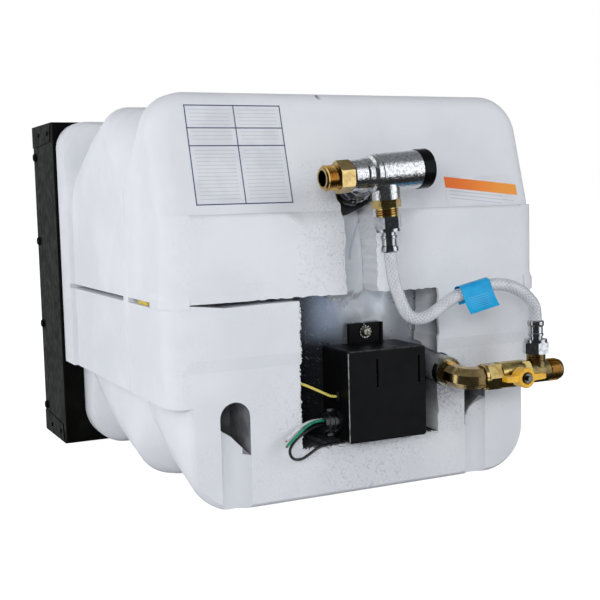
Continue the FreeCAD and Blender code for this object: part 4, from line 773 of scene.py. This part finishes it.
def makeTag():
    look = tagLook
    low, high = spot(*look["low"]), spot(*look["high"])
    along = (high - low).normalized()
    front = Vector(look["front"])
    front = (front - along * front.dot(along)).normalized()
    down = along.cross(front)
    ring = (hoseLook["diameter"] / 2 + look["gap"]) / 1000
    guide = drawLine("tagOutline", [(out * ring, side * ring, 0) for out, side in look["outline"]], "2D", 12)
    _, length = readRoute(guide)
    width = (high - low).length
    bpy.ops.mesh.primitive_grid_add(x_subdivisions=look["cells"][0], y_subdivisions=look["cells"][1], size=1,
                                    calc_uvs=True)
    tag = bpy.context.object
    tag.matrix_world = Matrix.Translation((length / 2, 0, width / 2)) @ Matrix.Rotation(math.pi / 2, 4, "X") \
        @ Matrix.Diagonal((length, width, 1, 1))
    bpy.ops.object.transform_apply()
    applyModifier(tag, "CURVE", object=guide, deform_axis="POS_X")
    tag.matrix_world = Matrix.Translation(low) @ Matrix((front, down, along)).transposed().to_4x4()
    bpy.ops.object.transform_apply()
    applyModifier(tag, "SOLIDIFY", thickness=look["thick"] / 1000, offset=0)
    editAll(bpy.ops.mesh.normals_make_consistent, inside=False)
    bpy.ops.object.shade_smooth_by_angle(angle=math.radians(look["crease"]))
    bpy.data.objects.remove(guide)
    dress(tag, "blueTag", finishes["flag_blue"])
    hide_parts("hose_flag")


# The mixing valve's centre, and its directions: out of the tank, down its branch, and in from its outlet
valve = {"centre": Vector((9, 218, 309.207)), "out": Vector((0, 0.97077, 0.24)),
         "branch": Vector((-0.07237, 0, -0.99738)), "main": Vector((-0.99738, 0, 0.07237))}

# Screw threads on the open pipe ends and the valve's branch: start, direction, radius, length and pitch
threadLook = {"ridge": 0.9, "steps": 48, "crease": 50}
threads = {
    "mixedThread": (valve["centre"] - valve["main"] * 52.0, valve["main"], 10.9, 12.5, 2.0),
    "adapterThread": (valve["centre"] + valve["main"] * 12.0 + valve["branch"] * 34.4, valve["branch"],
                      10.6, 8.2, 2.0),
    "coldThread": ((-182.6, 230, 106), (-1, 0, 0), 10.7, 14, 1.81),
    "branchThread": ((-170.5, 230, 116.5), (0, 0, 1), 9.4, 7, 1.81),
}


def makeThread(name, start, along, radius, length, pitch):
    look = threadLook
    bpy.ops.mesh.primitive_circle_add(vertices=3, radius=look["ridge"] / 1000)
    ridge = bpy.context.object
    ridge.matrix_world = Matrix.Translation((radius / 1000, 0, 0)) @ Matrix.Rotation(math.pi / 2, 4, "X") \
        @ Matrix.Rotation(-math.pi / 2, 4, "Z")
    bpy.ops.object.transform_apply()
    whole = round(length / pitch) - 1
    applyModifier(ridge, "SCREW", angle=2 * math.pi, screw_offset=pitch / 1000, iterations=whole,
                  steps=look["steps"], render_steps=look["steps"], axis="Z", use_merge_vertices=True,
                  merge_threshold=0.00001)
    editAll(bpy.ops.mesh.fill_holes, sides=4)
    editAll(bpy.ops.mesh.normals_make_consistent, inside=False)
    bpy.ops.object.shade_smooth_by_angle(angle=math.radians(look["crease"]))
    settle(ridge, spot(*start), along)
    dress(ridge, name, finishes["brass_thread"])


# Torn foam: loose beads along the cut edges, grown together
tornLook = {
    "bead": 1.0, "squash": (1.0, 0.86, 0.94), "sizes": (0.5, 1.5), "step": 0.95, "rows": 3, "deep": 4.0,
    "inward": (-1.2, 1.5), "sway": (-0.5, 0.5), "voxel": 0.42, "seed": 12,
}
tornEdges = {            # each edge's two ends, and the way into the opening
    "tornSill": ((75, 185.4, 45.0), (-79, 185.4, 45.0), (0, 0, 1)),
    "tornSideLow": ((75.7, 185.4, 45), (75.7, 185.4, 131), (-1, 0, 0)),
    "tornSideHigh": ((75.7, 188.0, 131), (75.7, 188.2, 188.4), (-1, 0, 0)),
}


def makeTornEdge(name, edge):
    look = tornLook
    start, end, inward = [Vector(one) for one in edge]
    dice = random.Random(look["seed"] + len(name))
    bpy.ops.mesh.primitive_ico_sphere_add(subdivisions=2, radius=look["bead"] / 1000)
    bead = bpy.context.object
    editAll(bpy.ops.transform.resize, value=look["squash"])
    beads = [bead]
    steps = round((end - start).length / look["step"])
    for k in range(steps + 1):
        along = start.lerp(end, k / steps)
        for row in range(look["rows"]):
            shift = inward * dice.uniform(*look["inward"])
            shift.y += dice.uniform(*look["sway"]) - row * look["deep"] / look["rows"]
            size = dice.uniform(*look["sizes"])
            turn = Matrix.Rotation(dice.uniform(0, 6.28), 4, (dice.random(), dice.random(), 1))
            middle = Matrix.Translation(spot(*(along + shift)))
            beads.append(copyTo(bead, middle @ turn @ Matrix.Scale(size, 4)))
    bead.matrix_world = Matrix.Translation(spot(*start))
    joinAll(beads)
    applyModifier(bead, "REMESH", mode="VOXEL", voxel_size=look["voxel"] / 1000, use_smooth_shade=True)
    dress(bead, name, finishes["foam"])


# Foam left on the tank inside the slot, with a fine crack down it
remnantLook = {
    "x": (-9.6, 24.4), "y": 186, "z": (184, 291), "cells": (60, 150), "thick": 9.0, "proud": 0.2, "wall": 6,
    "crack": ((-13.8, 272), (-3.9, 251.8), (0, 242.4), (2.9, 233.8), (4.2, 226)), "crackDepth": 5.0,
    "crackWidth": 1.1,
    # uneven swelling: how many waves, their rates across and up, and their height
    "waves": 6, "across": 0.11, "up": 0.05, "height": 0.25, "seed": 21,
    # its lower end: height, ripples along it, and how far below it and over what length the foam thins out
    "foot": 192, "ripples": ((1.6, 0.45), (0.9, 1.7)), "below": 7, "ease": 9,
}


def makeRemnant():
    look = remnantLook
    (left, right), (low, high) = look["x"], look["z"]
    bpy.ops.mesh.primitive_grid_add(x_subdivisions=look["cells"][0], y_subdivisions=look["cells"][1], size=1)
    piece = bpy.context.object
    middle = spot((left + right) / 2, look["y"], (low + high) / 2)
    piece.matrix_world = Matrix.Translation(middle) @ Matrix.Rotation(-math.pi / 2, 4, "X") \
        @ Matrix.Diagonal(((right - left) / 1000, (high - low) / 1000, 1, 1))
    bpy.ops.object.transform_apply()
    applyModifier(piece, "SHRINKWRAP", target=nodes["tank"], wrap_method="PROJECT", use_project_y=True,
                  use_negative_direction=True, use_positive_direction=False)
    dice = random.Random(look["seed"])
    swell = [dice.uniform(-0.5, 0.5) for _ in range(look["waves"])]
    for vertex in piece.data.vertices:
        x, z = vertex.co.x * 1000, vertex.co.z * 1000 - baseLift
        wave = sum(tall * math.sin(x * look["across"] * (k + 1) + z * look["up"] * (k + 2) + k)
                   for k, tall in enumerate(swell)) * look["height"]
        foot = look["foot"] + sum(tall * math.sin(x * rate) for tall, rate in look["ripples"])
        ease = min(1.0, max(0.0, (z - foot + look["below"]) / look["ease"]))
        lift = (look["thick"] + wave) * ease * ease * (3 - 2 * ease) + look["proud"]
        for (x0, z0), (x1, z1) in zip(look["crack"], look["crack"][1:]):
            if z1 <= z < z0:
                away = abs(x - (x0 + (x1 - x0) * (z0 - z) / (z0 - z1)))
                lift -= look["crackDepth"] * max(0.0, 1 - away / look["crackWidth"])
        vertex.co.y += lift / 1000
    bpy.ops.object.shade_smooth()
    applyModifier(piece, "SOLIDIFY", thickness=look["wall"] / 1000, offset=-1, use_even_offset=False)
    dress(piece, "slotRemnant", finishes["foam_skin"])


# Dark rubber sleeve between the hot outlet and the torn foam
sleeveLook = {"radius": 23.4, "wall": 3.6, "length": 26.0, "sides": 72, "from": 80.04, "start": 8.0,
              "uneven": 0.8, "edge": 0.6, "crease": 40, "seed": 4}


def makeSleeve():
    look = sleeveLook
    half = look["length"] / 2000
    bpy.ops.mesh.primitive_cylinder_add(vertices=look["sides"], radius=look["radius"] / 1000, depth=2 * half,
                                        end_fill_type="NOTHING", location=(0, 0, half))
    sleeve = bpy.context.object
    bpy.ops.object.transform_apply()
    dice = random.Random(look["seed"])
    for vertex in sleeve.data.vertices:
        if vertex.co.z > half:
            vertex.co.z += dice.uniform(-look["uneven"], look["uneven"]) / 1000
    applyModifier(sleeve, "SOLIDIFY", thickness=look["wall"] / 1000, offset=-1)
    applyModifier(sleeve, "BEVEL", width=look["edge"] / 1000, segments=2)
    bpy.ops.object.shade_smooth_by_angle(angle=math.radians(look["crease"]))
    foot = valve["centre"] - valve["out"] * (look["from"] - look["start"])
    settle(sleeve, spot(*foot), valve["out"])
    dress(sleeve, "outletSleeve", finishes["gasket_rubber"])


# Star washer under the head of the box's screw
starLook = {
    "place": (-15, 154.9, 151), "along": (0, 1, 0), "spin": 0.2, "outer": 6.9, "notch": 5.2, "inner": 4.5,
    "teeth": 12, "thick": 0.5, "dish": 0.35, "twist": 0.75, "edge": 0.08,
}


def makeStarWasher():
    look = starLook
    bpy.ops.mesh.primitive_circle_add(vertices=look["teeth"] * 4, radius=look["outer"] / 1000)
    star = bpy.context.object
    bpy.ops.object.mode_set(mode="EDIT")
    bpy.ops.mesh.select_all(action="SELECT")
    bpy.ops.mesh.extrude_region_move()
    shrink = look["inner"] / look["outer"]
    bpy.ops.transform.resize(value=(shrink, shrink, 1), center_override=(0, 0, 0))
    bpy.ops.object.mode_set(mode="OBJECT")
    for vertex in star.data.vertices:
        away = math.hypot(vertex.co.x, vertex.co.y) * 1000
        if away > look["notch"]:
            step = round(math.atan2(vertex.co.y, vertex.co.x) / (math.pi / 2 / look["teeth"])) % 4
            if step >= 2:
                vertex.co.x *= look["notch"] / look["outer"]
                vertex.co.y *= look["notch"] / look["outer"]
            vertex.co.z = (look["dish"] + (look["twist"] if step == 0 else 0.0)) / 1000
    applyModifier(star, "SOLIDIFY", thickness=look["thick"] / 1000, offset=1)
    applyModifier(star, "BEVEL", width=look["edge"] / 1000, segments=1)
    settle(star, spot(*look["place"]), look["along"], look["spin"])
    dress(star, "starWasher", finishes["chrome_plate"])


# Loose beads on the foam, thickest near the slot, the nipple and the opening's foot
gritLook = {
    "seed": 5, "bead": 1.0, "sizes": (0.45, 1.0), "rise": 0.4, "tall": (0.8, 1.25), "crowding": 1.8,
    "patches": {
        "gritSlot": {"x": (27, 76), "z": (197, 262), "count": 420, "thick": "left"},
        "gritBrow": {"x": (34, 74), "z": (284, 325), "count": 170, "thick": "left"},
        "gritNipple": {"x": (-110, -96), "z": (44, 92), "count": 150, "thick": "right"},
        "gritFoot": {"x": (-74, 74), "z": (22, 42), "count": 360, "thick": "top"},
    },
}


def rearSpot(x, z):
    # the point of the jacket's rear face at a place across and up
    face = rearFace
    if z > face["slantFrom"]:
        return spot(x, face["slantDepth"] - (z - face["slantFrom"]) * math.tan(face["slant"]), z)
    ease = min(1.0, max(0.0, (z - face["stepFrom"]) / face["stepOver"]))
    return spot(x, face["depth"] + face["step"] * ease, z)


def makeGrit(name, patch):
    look = gritLook
    dice = random.Random(look["seed"] + len(name))
    bpy.ops.mesh.primitive_ico_sphere_add(subdivisions=1, radius=look["bead"] / 1000)
    grit = bpy.context.object
    bpy.ops.object.shade_smooth()
    beads = [grit]
    (left, right), (low, high) = patch["x"], patch["z"]
    for _ in range(patch["count"]):
        across, up = dice.random(), dice.random()
        near = dice.random() ** look["crowding"]
        if patch["thick"] == "top":
            x, z = left + (right - left) * across, high - (high - low) * near
        else:
            start, end = (left, right) if patch["thick"] == "left" else (right, left)
            x, z = start + (end - start) * near, low + (high - low) * up
        size = dice.uniform(*look["sizes"])
        shape = Matrix.Diagonal((size, size * look["rise"], size * dice.uniform(*look["tall"]), 1))
        beads.append(copyTo(grit, Matrix.Translation(rearSpot(x, z)) @ shape))
    middle = rearSpot((left + right) / 2, (low + high) / 2)
    grit.matrix_world = Matrix.Translation(middle) @ Matrix.Diagonal((1, look["rise"], 1, 1))
    dress(joinAll(beads), name, finishes["foam"])


# A wad of yellow fibre that shows in the side slot
fibreLook = {"place": (199.5, 104, 191.3), "size": (7.0, 26.0, 3.6), "cuts": 9, "round": 0.4, "rough": 0.09,
             "seed": 9}


def makeFibre():
    look = fibreLook
    bpy.ops.mesh.primitive_cube_add(size=1)
    wad = bpy.context.object
    editAll(bpy.ops.mesh.subdivide, number_cuts=look["cuts"], smoothness=look["round"])
    dice = random.Random(look["seed"])
    for vertex in wad.data.vertices:
        for axis in range(3):
            vertex.co[axis] += dice.uniform(-look["rough"], look["rough"]) / (1 + axis % 2)
    sides = [side / 1000 for side in look["size"]]
    wad.matrix_world = Matrix.Translation(spot(*look["place"])) @ Matrix.Diagonal((*sides, 1))
    bpy.ops.object.transform_apply()
    bpy.ops.object.shade_smooth()
    dress(wad, "yellowFibre", finishes["fibre"])


setStudio()
setCamera()
print("camera and lights set")
finishNodes()
makeHose()
makeWires()
print("hose and wires laid")
makeTag()
for threadName, thread in threads.items():
    makeThread(threadName, *thread)
for edgeName, edge in tornEdges.items():
    makeTornEdge(edgeName, edge)
print("tag, threads and torn edges made")
makeRemnant()
makeSleeve()
makeStarWasher()
makeFibre()
for patchName, patch in gritLook["patches"].items():
    makeGrit(patchName, patch)
print("slot, sleeve, washer, fibre and beads made")
